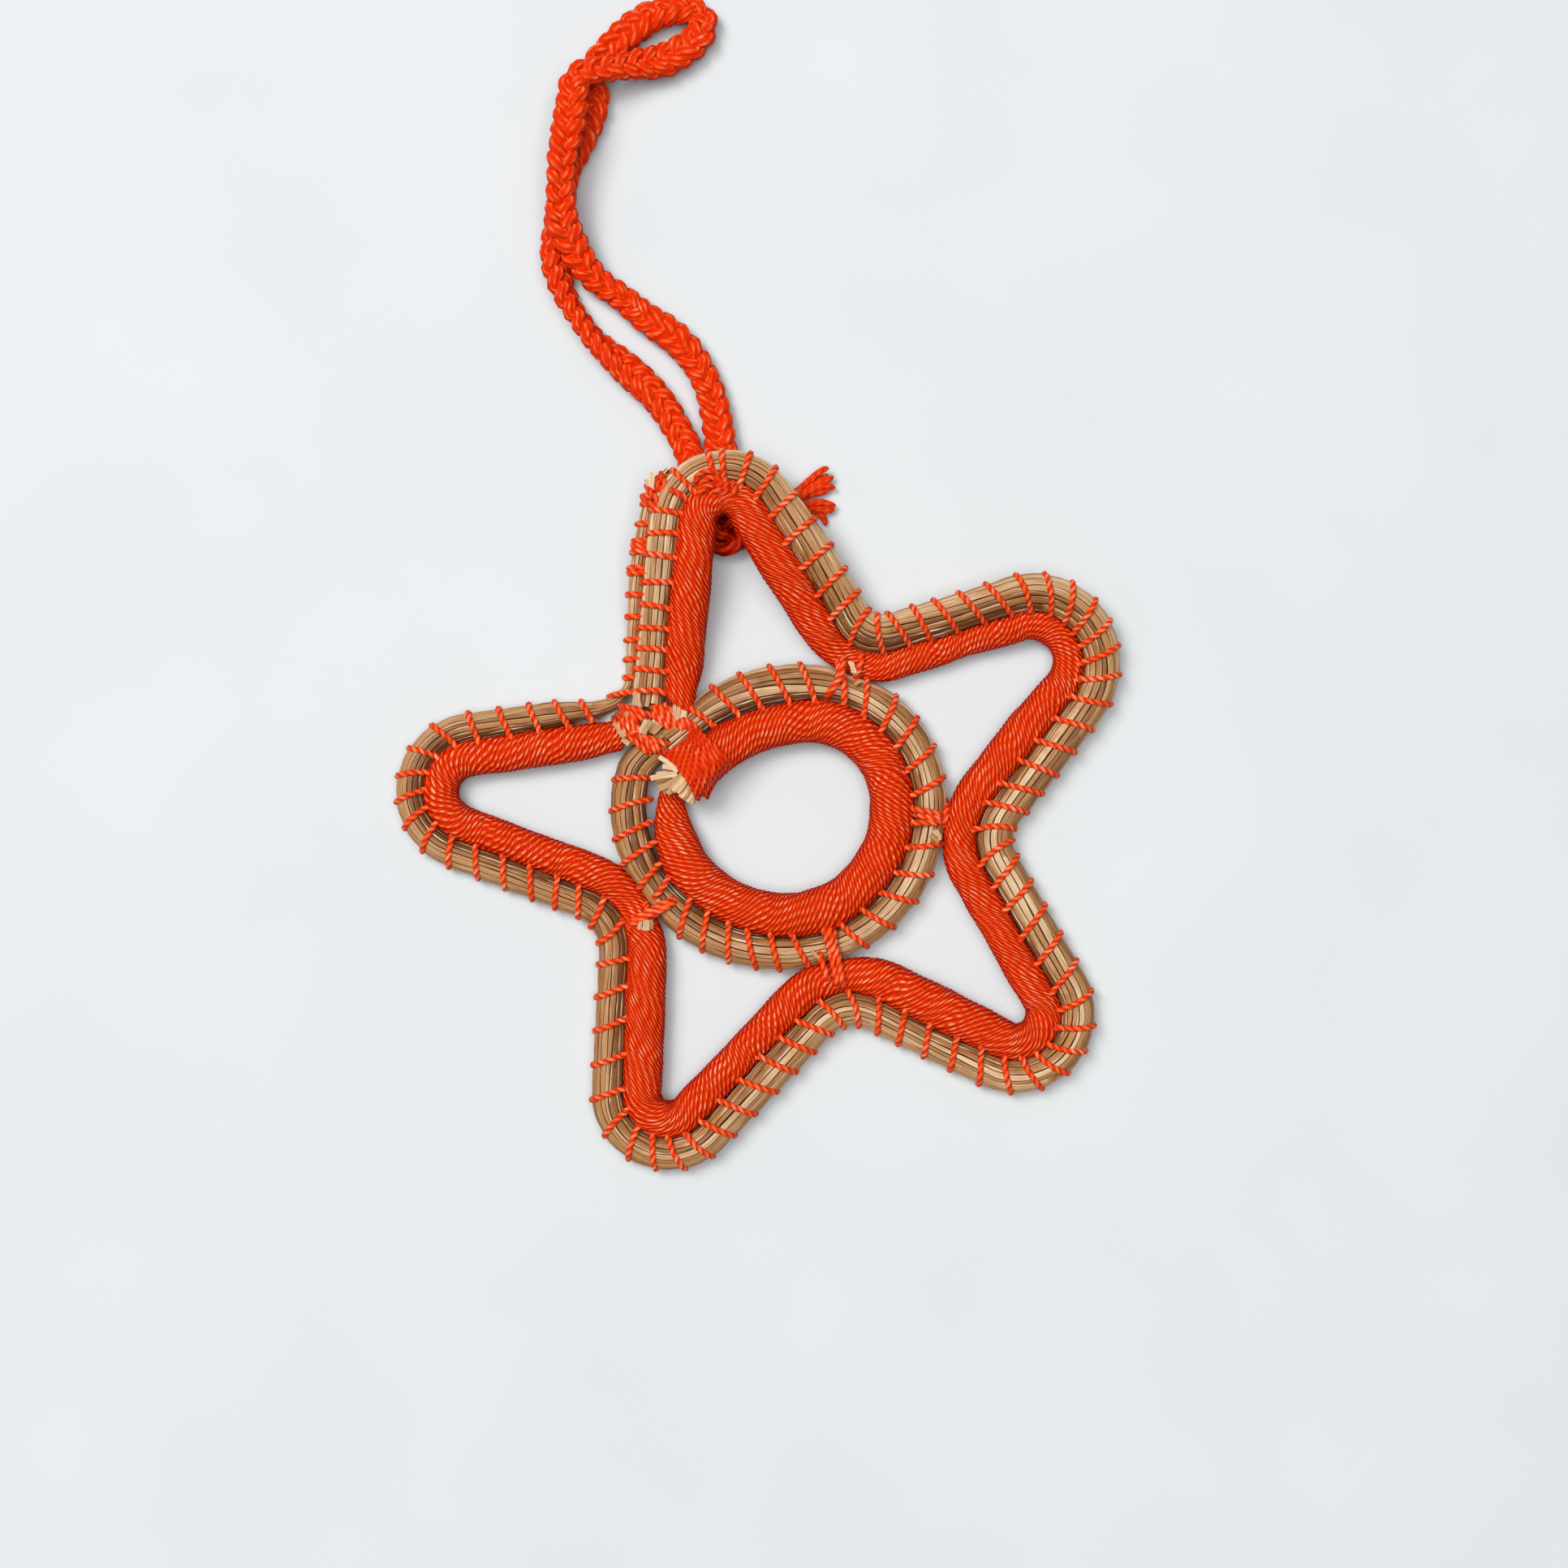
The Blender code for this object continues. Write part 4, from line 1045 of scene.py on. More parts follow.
# %% Needle surface
SHOULDERS = np.array([0.0, 0.14, 0.50, 0.86])
DEPTHS = np.array([0.46, 0.03, 0.0, 0.05]) * MM
PLACE_MARKS = {"edge": 0.0, "lip": 0.14, "crown": 0.50}
NEEDLE_MARKS = ("tone", "run", "across", *PLACE_MARKS)
NEEDLE_STEP = 1.15 * MM
NEEDLE_STAND, NEEDLE_SUNK = 0.11 * MM, 0.05 * MM
STITCH_DIP, STITCH_DIP_HALF_LENGTH = 0.14 * MM, 0.8 * MM
NEEDLE_LENGTH = 70 * MM
GOLDEN = 1.618
TONES = 64
# How much darker the needles are painted down in the crease: painted shade
CREASE_SHADE = 0.45


def needle_surface(route, radius_at, stitches, count, start, end, fuller, darker, seed, ragged=1.4 * MM):
    """Rings and marks of a bundle of bare needles between two distances along a route.

    Angle: the needle's own share of the circle plus a wander along the run. Radius: the bundle's radius,
    less the depth of the place on the needle, less a dip of 0.14 mm at each stitch. Its inner side is
    fuller, so that it touches the turn that it lies against, and darker down in the crease, with painted
    shade.
    """
    chance = np.random.default_rng(seed)
    body_rows = np.arange(start + ragged + MM, end - ragged - MM, NEEDLE_STEP)
    head = np.array([0.0, 0.0, 0.5]) * ragged + start
    distance = np.concatenate([head, body_rows, 2 * end - (head[::-1] - start + end)])
    widths = chance.uniform(0.72, 1.28, count)
    borders = 2 * math.pi * np.cumsum(widths) / widths.sum()
    shift = 0.16 * wander(distance, count, 45 * MM, seed + 1)
    lines = borders[:, None] + shift + 0.5 * wander(distance, 1, 160 * MM, seed + 2)
    following = np.roll(lines, -1, axis=0)
    following[-1] += 2 * math.pi
    angle = lines[..., None] + (following - lines)[..., None] * SHOULDERS
    stand = NEEDLE_STAND * wander(distance, count, 30 * MM, seed + 3) - NEEDLE_SUNK
    dip = np.zeros_like(distance)
    for place in stitches:
        dip += STITCH_DIP * np.exp(-((distance - place) / STITCH_DIP_HALF_LENGTH) ** 2)
    radius = radius_at(distance)
    size = np.clip(radius / radius.max(), 0.55, 1)[:, None]
    open_gap = smooth_step(0.75 + 1.3 * wander(distance, count, 24 * MM, seed + 4))[..., None]
    depths = DEPTHS * np.where(SHOULDERS == 0, 0.22 + 0.78 * open_gap, 1.0)
    reach = radius[:, None] * 1.05 + stand[..., None] - dip[:, None] - size * depths
    reach[:, [0, -1]] *= 0.4
    own = ragged * chance.uniform(0, 1, (2, count))
    place = np.broadcast_to(distance[:, None], reach.shape).copy()
    for row, moved in enumerate((1.0, 1.0, 0.5)):
        place[:, row] += moved * own[0][:, None]
        place[:, -1 - row] -= moved * own[1][:, None]
    up = reach * np.sin(angle)
    out = reach * np.cos(angle) - fuller(distance)[:, None] * np.clip(-np.cos(angle), 0, 1) ** 2
    height = np.maximum(radius_at(place) + up, ABOVE_SHEET)
    rings = beside(route, place, out, height)
    turns = np.floor(distance / NEEDLE_LENGTH + 0.5 * np.arange(count)[:, None] * GOLDEN)
    tones = chance.uniform(0.16, 0.92, (count, TONES))
    # Painted shade: needles on the inner side, down in the crease, are coloured darker.
    crease = smooth_step((-np.cos(0.5 * (lines + following)) - 0.35) / 0.5)
    tone = (np.take_along_axis(tones, turns.astype(int) % TONES, axis=1) - darker(distance)
            - CREASE_SHADE * crease)[..., None]
    across = np.broadcast_to(SHOULDERS + np.arange(count)[:, None, None], angle.shape)
    shape = (len(distance), 4 * count)

    def rows(value):
        return np.broadcast_to(value, angle.shape + value.shape[3:]).swapaxes(0, 1).reshape(
            shape + value.shape[3:])

    return dict(rings=rows(rings)[None], tone=rows(tone), across=rows(across), run=rows(place / MM),
                **{mark: rows(1.0 * (SHOULDERS == place_of)) for mark, place_of in PLACE_MARKS.items()})


# %% [markdown]
# ## Where the stitches lie
# Each leg of the star has eight to ten stitches, closer together at the tips and valleys, and the ring has
# five or six between one tie and the next. Those of the third coil lie between those of the coil inside it,
# and close loops bind its end.

# %% Stitch places
STITCHES = (0, 9, 10, 10, 9, 9, 10, 8, 10, 8)
CROWDING = 0.15
# Up the top arm, in millimetres above the ring's middle, they lie just so. Those of the third coil lie
# between
FIRST_LEG_HEIGHTS = (25.2, 28.8, 32.3, 36.0, 40.0, 44.4, 48.2, 51.9, 57.2, 60.2)
THIRD_COIL_HEIGHTS = (23.9, 27.2, 30.5, 34.4, 38.1, 41.7, 42.6, 45.3, 46.2, 47.1, 50.0, 53.4, 54.6, 55.8)
RING_STITCHES = (5, 5, 5, 6, 5)
RING_STITCHES_END_ANGLE = -199.0
TIE_DIRECTIONS = (66.0, 0.6, -70.5, -145.0)
RING_TIE_GAP = 6.0


def spread(start, end, count, crowding=0.0):
    """Places spread over a stretch, closer together at both its ends."""
    share = (np.arange(count) + 0.5) / count
    return start + (end - start) * (share - crowding * np.sin(2 * math.pi * share) / (2 * math.pi))


def at_heights(start, end, heights):
    """The distances between two others at which the star's bare turn passes those heights in plan."""
    at = np.arange(start, end, FINE)
    return np.interp(MM * np.array(heights), star_needle_route.along(at)[:, 1], at)


star_marks = [lead_length, *np.interp(star_middles, round_at, round_marks), round_end]
star_stitches = np.concatenate([spread(start, end, count, CROWDING)
                                for start, end, count in zip(star_marks[:-1], star_marks[1:], STITCHES)])
star_stitches = np.concatenate([at_heights(lead_length, star_marks[1], FIRST_LEG_HEIGHTS), star_stitches])
third_stitches = at_heights(third_start, star_needle_route.length, THIRD_COIL_HEIGHTS)

ring_starts = [RING_NEEDLE_START_ANGLE, *(angle - RING_TIE_GAP for angle in TIE_DIRECTIONS)]
ring_ends = [*(angle + RING_TIE_GAP for angle in TIE_DIRECTIONS), RING_STITCHES_END_ANGLE]
ring_stitches = np.array([ring_needle_route.nearest(polar(bare_ring_radius_at(angle), angle))
                          for start, end, count in zip(ring_starts, ring_ends, RING_STITCHES)
                          for angle in spread(start, end, count)])
print(len(star_stitches), "+", len(third_stitches), "stitches on the star,", len(ring_stitches),
      "on the ring")

# %% [markdown]
# ### The bare turns
# The needles are palest at the top of the star and brownest on its left arm, and on the ring they are
# brownest at the lower left. The star's bare turn and its third coil are two tubes in one mesh, because
# the third coil has fewer needles.

# %% Bare turns
bare_leg_middles = np.interp(leg_middles, round_at, round_marks)
# How many needles show round each turn
STAR_NEEDLES, THIRD_NEEDLES, RING_NEEDLES = 17, 9, 16
# How much browner the needles are on each leg, at the end of the turn and at the start of the third coil
STAR_BROWN = (-0.10, -0.08, 0.0, 0.0, 0.0, 0.05, 0.10, 0.15, 0.30, 0.30, 0.20, -0.10)
RING_BROWN_AT, RING_BROWN = (0, 60, 90, 150), (0.15, 0.0, 0.10, 0.30)


def star_bare_fuller(distance):
    """How much fuller the star's bare turn is towards its wrapped one. The third coil lies apart."""
    return star_fuller(np.interp(distance, round_marks, round_at)) * (distance < round_end)


def star_darker(distance):
    """How much browner the star's needles are at a distance along the bare turn."""
    return np.interp(distance, [*bare_leg_middles, round_end, third_start], STAR_BROWN)


def ring_darker(distance):
    """How much browner the ring's needles are at a distance along its bare turn."""
    return np.interp(distance, MM * np.array(RING_BROWN_AT), RING_BROWN)


star_needles = Fabric(*NEEDLE_MARKS)
star_needles.add(**needle_surface(star_needle_route, bare_star_radius, star_stitches, STAR_NEEDLES,
                                  lead_length - 6.5 * MM, round_end + 2.6 * MM, star_bare_fuller,
                                  star_darker, 21, 3.2 * MM))
star_needles.add(**needle_surface(star_needle_route, bare_star_radius, third_stitches, THIRD_NEEDLES,
                                  round_end - 1.0 * MM, star_needle_route.length, star_bare_fuller,
                                  star_darker, 22, 1.6 * MM))
star_needles = star_needles.finish("star_needles", [dry_needles])
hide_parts("star_needle_turn")

ring_needles = Fabric(*NEEDLE_MARKS)
ring_needles.add(**needle_surface(ring_needle_route, ring_bare_radius, ring_stitches, RING_NEEDLES,
                                  -5.5 * MM, ring_needle_route.length + 3.4 * MM, ring_bare_fuller,
                                  ring_darker, 23))
ring_needles = ring_needles.finish("ring_needles", [dry_needles])
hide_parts("ring_needle_turn")

# %% [markdown]
# ## Twisted thread
# Away from the wraps the thread is seen whole, so it is a tube. Its section has two lobes, one for each
# yarn, and turns once in every 2.9 mm along the thread. The points round it turn with the yarns, so even
# eight of them show the twist clearly.

# %% Thread tubes
THREAD_TWIST = 2.9 * MM
THREAD_SWING = 0.14 * MM
THREAD_YARN = 0.46 * MM
LOBES = np.radians([0, 48, 90, 132, 180, 228, 270, 312])
THREAD_MARKS = ("groove", "beside", "above", "run")
THREAD_LIT, THREAD_LIT_BY_LOBE = 0.42, 0.58
THREAD_ABOVE_SHEET = 0.03 * MM


def two_lobed(angle):
    """The radius of two touching round yarns at an angle from the line through both.

    It is swing*|cos| plus the root of yarn radius squared less swing squared times sin squared.
    """
    return THREAD_SWING * abs(np.cos(angle)) + np.sqrt(THREAD_YARN ** 2 - (THREAD_SWING * np.sin(angle)) ** 2)


def run_along(path):
    """Distance along each of several paths."""
    steps = np.linalg.norm(np.diff(path, axis=1), axis=-1)
    return np.concatenate([np.zeros((len(path), 1)), np.cumsum(steps, axis=1)], axis=1)


def crossed(path, side):
    """Unit vectors along a path, beside it and over it, the side ones squared up to the path."""
    ahead = np.gradient(path, axis=1)
    ahead /= np.linalg.norm(ahead, axis=-1, keepdims=True)
    over = np.cross(ahead, np.broadcast_to(side, path.shape))
    over /= np.linalg.norm(over, axis=-1, keepdims=True)
    return ahead, np.cross(over, ahead), over


def to_the_right(runs):
    """Level vectors to the right of several runs."""
    return np.stack([runs[:, 1], -runs[:, 0], np.zeros(len(runs))], axis=-1)


def round_paths(path, beside_it, over, aside, above):
    """Rings of points round paths, each point so far beside its path and so far above it."""
    return path[:, :, None] + aside[..., None] * beside_it[:, :, None] + above[..., None] * over[:, :, None]


def add_thread(fabric, path, side, turn=0.0, size=1.0, shaded=0.0):
    """Add two-yarn threads along path[thread, row] to a fabric."""
    _, beside_it, over = crossed(path, side)
    run = run_along(path)
    turned = 2 * math.pi * run / THREAD_TWIST + np.broadcast_to(turn, run.shape[:1])[:, None]
    spin = LOBES + turned[..., None]
    reach = size * two_lobed(LOBES) * np.ones_like(spin)
    reach[:, [0, -1]] *= 0.6
    rings = round_paths(path, beside_it, over, reach * np.cos(spin), reach * np.sin(spin))
    rings[..., 2] = np.maximum(rings[..., 2], THREAD_ABOVE_SHEET)
    lobe = (two_lobed(LOBES) - two_lobed(math.pi / 2)) / (two_lobed(0) - two_lobed(math.pi / 2))
    fabric.add(rings, groove=THREAD_LIT - shaded + THREAD_LIT_BY_LOBE * lobe, beside=np.cos(LOBES),
               above=np.sin(LOBES), run=(run / MM)[..., None])


print("thread", round(2000 * float(two_lobed(0)), 2), "by", round(2000 * float(two_lobed(math.pi / 2)), 2),
      "mm thick")

# %% [markdown]
# ## Stitches
# A stitch comes up out of the wrapped turn a little inside the crease, goes over the top of the bare
# bundle and round its outer side, and back in beneath. On most legs its inner end lies further along, so
# that it leans by about 20 degrees.

# %% Stitch loops
STITCH_TOP_ROWS = 22
STITCH_UNDER_ROWS = 8
STITCH_CLEARANCE = 0.16 * MM
STITCH_SUNK_IN, STITCH_SUNK_DOWN = 0.5 * MM, 0.7 * MM
STITCH_LOWEST = 0.52 * MM
ARC_REACH, ARC_POINTS = 140, 18
# The point of the path, three at the top and ten of the arc on, where the rows grow sparser beneath
OUTER_SIDE = 3 + 10


def stitch_loops(route, places, lean, reach_in, radius_at, inner_radius, seed):
    """Paths of stitches, one row of points for each.

    From a point sunk in the inner bundle the path rises to a point on its shoulder, crosses the crease
    straight to the bare bundle, and goes round it on a circle that clears it by 0.16 mm. Every point is
    moved along the bundle by the tangent of the lean for each unit inward.
    """
    chance = np.random.default_rng(seed)
    places = np.asarray(places)[:, None]
    radius = radius_at(places) + STITCH_CLEARANCE
    middle = radius_at(places)
    inner = np.asarray(inner_radius)[:, None]
    inward = np.broadcast_to(reach_in, len(places))[:, None] * chance.uniform(0.75, 1.25, places.shape)
    lean = np.broadcast_to(lean, len(places))[:, None] + chance.uniform(-5, 5, places.shape)
    lean = np.tan(np.radians(lean))
    shoulder = np.sqrt(np.clip(inner ** 2 - (inner - inward) ** 2, 0, None))
    top_out = np.concatenate([-(middle + inward + STITCH_SUNK_IN), -(middle + inward),
                              -(middle + 0.45 * inward)], axis=1)
    top_up = np.concatenate([inner + shoulder - STITCH_SUNK_DOWN, inner + shoulder + 0.05 * MM,
                             0.5 * (inner + shoulder + middle + 0.75 * radius) + 0.1 * MM], axis=1)
    angles = np.radians(np.linspace(ARC_REACH, -ARC_REACH, ARC_POINTS))[None]
    arc_out, arc_up = radius * np.cos(angles), middle + radius * np.sin(angles)
    under_out, under_up = top_out[:, ::-1], 2 * inner - top_up[:, ::-1]
    out = np.concatenate([top_out, arc_out, under_out], axis=1)
    up = np.maximum(np.concatenate([top_up, arc_up, under_up], axis=1), STITCH_LOWEST)
    steps = np.hypot(np.diff(out), np.diff(up))
    at = np.concatenate([np.zeros_like(places), np.cumsum(steps, axis=1)], axis=1)
    turn_over = at[:, OUTER_SIDE][:, None]
    beneath = np.linspace(0, 1, STITCH_UNDER_ROWS + 1)[None, 1:]
    share = np.concatenate([np.linspace(0, 1, STITCH_TOP_ROWS)[None] * turn_over,
                            turn_over + beneath * (at[:, -1:] - turn_over)], axis=1)
    even_out = np.stack([np.interp(s, a, o) for s, a, o in zip(share, at, out)])
    even_up = np.stack([np.interp(s, a, u) for s, a, u in zip(share, at, up)])
    for _ in range(2):
        even_out[:, 1:-1] = (even_out[:, :-2] + 2 * even_out[:, 1:-1] + even_out[:, 2:]) / 4
        even_up[:, 1:-1] = (even_up[:, :-2] + 2 * even_up[:, 1:-1] + even_up[:, 2:]) / 4
    path = beside(route, places - lean * even_out, even_out, even_up)
    side = to_the_right(route.outward(places[:, 0]))[:, None]
    return path, side, chance.uniform(0, 2 * math.pi, len(path))


# %% [markdown]
# ### All the stitches
# How far a stitch reaches in over the wraps differs from leg to leg, as the photograph shows. A stitch
# needs the radius of the turn that it reaches over, which for the third coil is the star's bare turn.

# %% Stitches
STAR_STITCH_LEANS = (0, 12, 20, 20, 20, 20, 20, 20, 20, 20)
STAR_STITCH_REACH = MM * np.array([0.4, 0.9, 0.45, 1.1, 0.8, 0.7, 0.6, 0.3, 0.3, 0.5])
THIRD_STITCH_LEAN, THIRD_STITCH_REACH = 8, 0.4 * MM
RING_STITCH_LEAN, RING_STITCH_REACH = 20, 0.5 * MM

star_inner = star_wrapped_radius(np.interp(star_stitches, round_marks, round_at))
ring_inner_at = [ring_wrapped_route.nearest(ring_needle_route.along(place)) for place in ring_stitches]
ring_inner = ring_wrapped_radius(np.array(ring_inner_at))
third_beside = np.interp(third_stitches, [third_start, star_needle_route.length], [THIRD_FROM, third_to])
third_inner = bare_star_radius(np.interp(third_beside, round_at, round_marks))

stitching = Fabric(*THREAD_MARKS)
star_leans = np.interp(star_stitches, bare_leg_middles, STAR_STITCH_LEANS)
star_reach = np.interp(star_stitches, bare_leg_middles, STAR_STITCH_REACH)
add_thread(stitching, *stitch_loops(star_needle_route, star_stitches, star_leans, star_reach,
                                    bare_star_radius, star_inner, 31))
add_thread(stitching, *stitch_loops(star_needle_route, third_stitches, THIRD_STITCH_LEAN,
                                    THIRD_STITCH_REACH, bare_star_radius, third_inner, 32))
add_thread(stitching, *stitch_loops(ring_needle_route, ring_stitches, RING_STITCH_LEAN,
                                    RING_STITCH_REACH, ring_bare_radius, ring_inner, 33))
stitching = stitching.finish("stitches", [coral_thread], 180)

# %% [markdown]
# ## Ties
# In each valley, and over the loose ends at the upper left, a few threads run across from one bundle to
# another, and at the tip of the top arm loose loops bind the third coil. Each is a short line in plan.
# Its height is the height of the bundles beneath, drawn tight so that it spans the creases, and both its
# ends dive in between the wraps.

# %% Heights of the bundles
COIL_STEP = 0.5 * MM


def coil(route, radius_at, level_at=None, aside_at=None):
    """A bundle that threads lie over: points of its route, radii and levels."""
    at = np.arange(0, route.length, COIL_STEP)
    radii = radius_at(at)
    levels = radii if level_at is None else level_at(at)
    aside = 0 * at if aside_at is None else aside_at(at)
    return route.along(at) + aside[:, None] * route.outward(at), radii, levels


coils = (coil(ring_wrapped_route, ring_wrapped_radius, ring_wrapped_level),
         coil(ring_needle_route, ring_bare_radius),
         coil(star_wrapped_route, star_wrapped_radius, aside_at=star_aside),
         coil(star_needle_route, bare_star_radius))


def surface_height(plan):
    """The height of the top of the bundles over plan points: level plus the root of radius squared less
    the distance from the route squared, the highest of all bundles."""
    height = np.zeros(plan.shape[:-1])
    for line, radii, levels in coils:
        away = np.linalg.norm(plan[..., None, :] - line, axis=-1)
        rise = np.sqrt(np.clip(radii ** 2 - away ** 2, 0, None))
        height = np.maximum(height, np.where(rise > 0, levels + rise, 0).max(axis=-1))
    return height


def drawn_tight(at, height):
    """The lowest line over a profile that never sags between its own points."""
    tight = height.copy()
    for left in range(len(at)):
        for right in range(left + 2, len(at)):
            between = slice(left + 1, right)
            chord = np.interp(at[between], at[[left, right]], height[[left, right]])
            tight[between] = np.maximum(tight[between], chord)
    return tight


tallest = max(float((radii + levels).max()) for _, radii, levels in coils)
print("the bundles are up to", round(tallest * 1000, 1), "mm high before the top arm is lifted")

# %% [markdown]
# ### Where the ties run
# Each thread is its own short list of places, read off the photograph from one end to the other.

# %% Places of the ties
# Points in millimetres from the ring's middle, and how high the thread lies on others beneath it
TIES = {
    "star_ring_tie_1": (
        (((10.9, 27.7), (10.5, 25.3), (10.2, 23.9), (8.2, 20.7)), 0.5),
        (((9.9, 26.8), (9.9, 23.9), (9.0, 22.3), (7.5, 20.2)), 0.0),
        (((11.1, 27.0), (10.6, 24.6), (10.9, 22.3), (10.9, 18.8)), 0.2),
        (((14.0, 28.9), (13.7, 26.3), (12.7, 23.2)), 0.0)),
    "star_ring_tie_2": (
        (((22.2, 1.7), (23.6, 1.1), (25.6, 0.8), (28.6, 0.3)), 0.1),
        (((22.0, -1.0), (24.9, -1.1), (28.2, -1.0)), 0.0),
        (((22.6, 0.5), (25.4, -0.1), (28.4, -0.4)), 0.0),
        (((28.6, 3.0), (28.4, 0.1), (28.0, -1.9)), 0.7)),
    "star_ring_tie_3": (
        (((7.3, -18.6), (7.7, -20.6), (8.4, -23.2), (8.9, -24.8)), 0.0),
        (((8.2, -18.6), (8.7, -21.0), (9.2, -23.6), (9.5, -25.4)), 0.1),
        (((9.1, -18.9), (9.3, -21.6), (9.8, -23.9), (10.3, -26.5), (10.9, -30.0)), 0.2),
        (((8.5, -23.3), (9.1, -25.8), (9.5, -27.6), (9.9, -29.6)), 0.4),
        (((6.6, -22.9), (7.1, -25.1), (7.7, -26.7), (8.3, -28.7)), 0.0)),
    "star_ring_tie_4": (
        (((-27.0, -19.4), (-24.1, -17.8), (-22.0, -16.6), (-19.9, -15.7), (-17.6, -14.4)), 0.0),
        (((-26.2, -18.4), (-23.9, -16.9), (-21.2, -15.4), (-18.3, -13.9)), 0.2),
        (((-18.2, -14.8), (-20.7, -16.1), (-22.4, -17.4)), 0.1),
        (((-19.0, -10.1), (-20.4, -12.3), (-22.1, -14.3)), 0.3),
        (((-23.2, -14.8), (-22.7, -16.2), (-21.7, -17.4)), 0.6)),
    "star_ring_tie_5": (
        (((-28.5, 17.8), (-25.9, 15.2), (-23.9, 13.4), (-20.7, 10.6)), 0.1),
        (((-29.1, 17.2), (-26.9, 14.6), (-24.9, 12.8), (-22.1, 10.4)), 0.0),
        (((-27.7, 18.0), (-25.3, 16.0), (-23.7, 14.2), (-21.5, 12.2), (-19.9, 10.9)), 0.1),
        (((-26.1, 12.9), (-25.1, 14.4), (-23.7, 15.1)), 0.8),
        (((-24.5, 14.2), (-21.3, 13.0), (-18.3, 12.0)), 0.5)),
    "star_ring_tie_6": (
        (((-28.0, 19.2), (-24.7, 18.3), (-21.7, 16.9)), 0.2),
        (((-27.9, 18.5), (-25.1, 17.4), (-22.5, 16.4)), 0.1),
        (((-28.1, 17.9), (-25.7, 16.9), (-24.1, 16.2)), 0.0),
        (((-22.3, 19.1), (-19.8, 16.9), (-17.1, 14.5)), 0.1),
        (((-21.5, 19.5), (-18.9, 17.1), (-16.1, 14.2)), 0.2),
        (((-22.3, 18.1), (-20.5, 16.2), (-18.1, 14.6)), 0.0),
        (((-20.6, 19.8), (-18.1, 17.4), (-15.2, 14.5)), 0.1),
        (((-17.1, 17.0), (-15.2, 15.8), (-13.0, 13.9)), 0.0),
        (((-30.1, 20.7), (-26.9, 21.3), (-21.3, 21.6), (-18.6, 20.6)), 0.4)),
}
# Over the ring's start the first wraps fan out: the first and the last of them, and how many
FAN = (((-20.4, 11.3), (-18.0, 9.0), (-15.6, 6.2), (-14.0, 2.9)),
       ((-15.0, 15.4), (-12.8, 13.4), (-10.6, 11.3), (-8.7, 8.9)))
FAN_THREADS = 10
print(sum(len(threads) for threads in TIES.values()), "tie threads and", FAN_THREADS, "in the fan")

# %% [markdown]
# ### Threads of the ties
# The line of a thread is cut to even rows, laid over the bundles, drawn tight, and sunk at both ends.

# %% Ties
TIE_ROWS = 40
TIE_RISE, TIE_RISE_ON_OTHERS = 0.45, 0.8
TIE_SINK, TIE_SINK_LENGTH = 1.3 * MM, 1.6 * MM


def tie_path(points, above):
    """A tie's thread in space: its plan line cut evenly, laid tight over the bundles, with both ends sunk."""
    line = spline_through(MM * np.array(points), 0.1 * MM)
    at = run_along(line[None])[0]
    even = np.linspace(0, at[-1], TIE_ROWS)
    plan = points_at(even, at, line)
    height = drawn_tight(even, np.maximum(surface_height(plan), MM))
    for _ in range(3):
        height[1:-1] = np.maximum(height[1:-1], (height[:-2] + 2 * height[1:-1] + height[2:]) / 4)
    out = smooth_step(np.minimum(even, at[-1] - even) / TIE_SINK_LENGTH)
    return raised(plan, height + (TIE_RISE + TIE_RISE_ON_OTHERS * above) * MM - TIE_SINK * (1 - out))


def fan_out(first, last, count):
    """Lines that pass evenly from the first to the last."""
    share = np.linspace(0, 1, count)[:, None, None]
    return np.array(first) * (1 - share) + np.array(last) * share


for node, threads in TIES.items():
    tie = Fabric(*THREAD_MARKS)
    paths = np.stack([tie_path(points, above) for points, above in threads])
    add_thread(tie, paths, to_the_right(paths[:, -1] - paths[:, 0])[:, None], np.arange(len(paths)) * 1.7)
    if node == "star_ring_tie_6":
        paths = np.stack([tie_path(points, 0.0) for points in fan_out(*FAN, FAN_THREADS)])
        add_thread(tie, paths, np.array([-0.5, 0.85, 0.0]), np.arange(len(paths)) * 0.9, 0.86, 0.16)
    tie = tie.finish(node + "_threads", [coral_thread], 180)
    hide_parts(node)

# %% [markdown]
# ### Loops at the tip
# At the tip of the top arm the photograph shows short loops in no order. They are laid as the ties are.

# %% Loops at the tip
TIP_LOOPS = (
    ((-21.1, 58.2), (-20.8, 56.5), (-20.1, 54.9)), ((-20.5, 58.8), (-19.9, 57.2), (-19.6, 55.6)),
    ((-23.0, 56.9), (-22.2, 55.4), (-21.3, 54.3), (-20.4, 53.2)),
    ((-23.8, 55.0), (-22.9, 53.8), (-21.7, 53.0), (-20.5, 52.8)),
    ((-19.2, 55.8), (-16.9, 54.5), (-15.5, 53.2)),
    ((-14.6, 56.0), (-13.9, 57.9), (-11.7, 58.6), (-9.8, 57.2)),
    ((-14.2, 54.9), (-13.0, 56.9), (-11.3, 57.4), (-9.8, 56.0)),
    ((-14.4, 53.6), (-13.5, 55.0), (-12.0, 56.2), (-10.4, 55.6)),
    ((-11.9, 54.6), (-10.6, 55.4), (-9.6, 57.4)), ((-9.9, 54.2), (-9.2, 55.8), (-8.9, 57.5)),
    ((-8.0, 53.6), (-7.8, 55.2), (-8.2, 57.0)),
)
loops = np.stack([tie_path(points, 0.1) for points in TIP_LOOPS])
tip_loops = Fabric(*THREAD_MARKS)
add_thread(tip_loops, loops, to_the_right(loops[:, -1] - loops[:, 0])[:, None],
           np.arange(len(loops)) * 1.3, 1.0, 0.08)
tip_loops.finish("tip_loops", [coral_thread], 180)
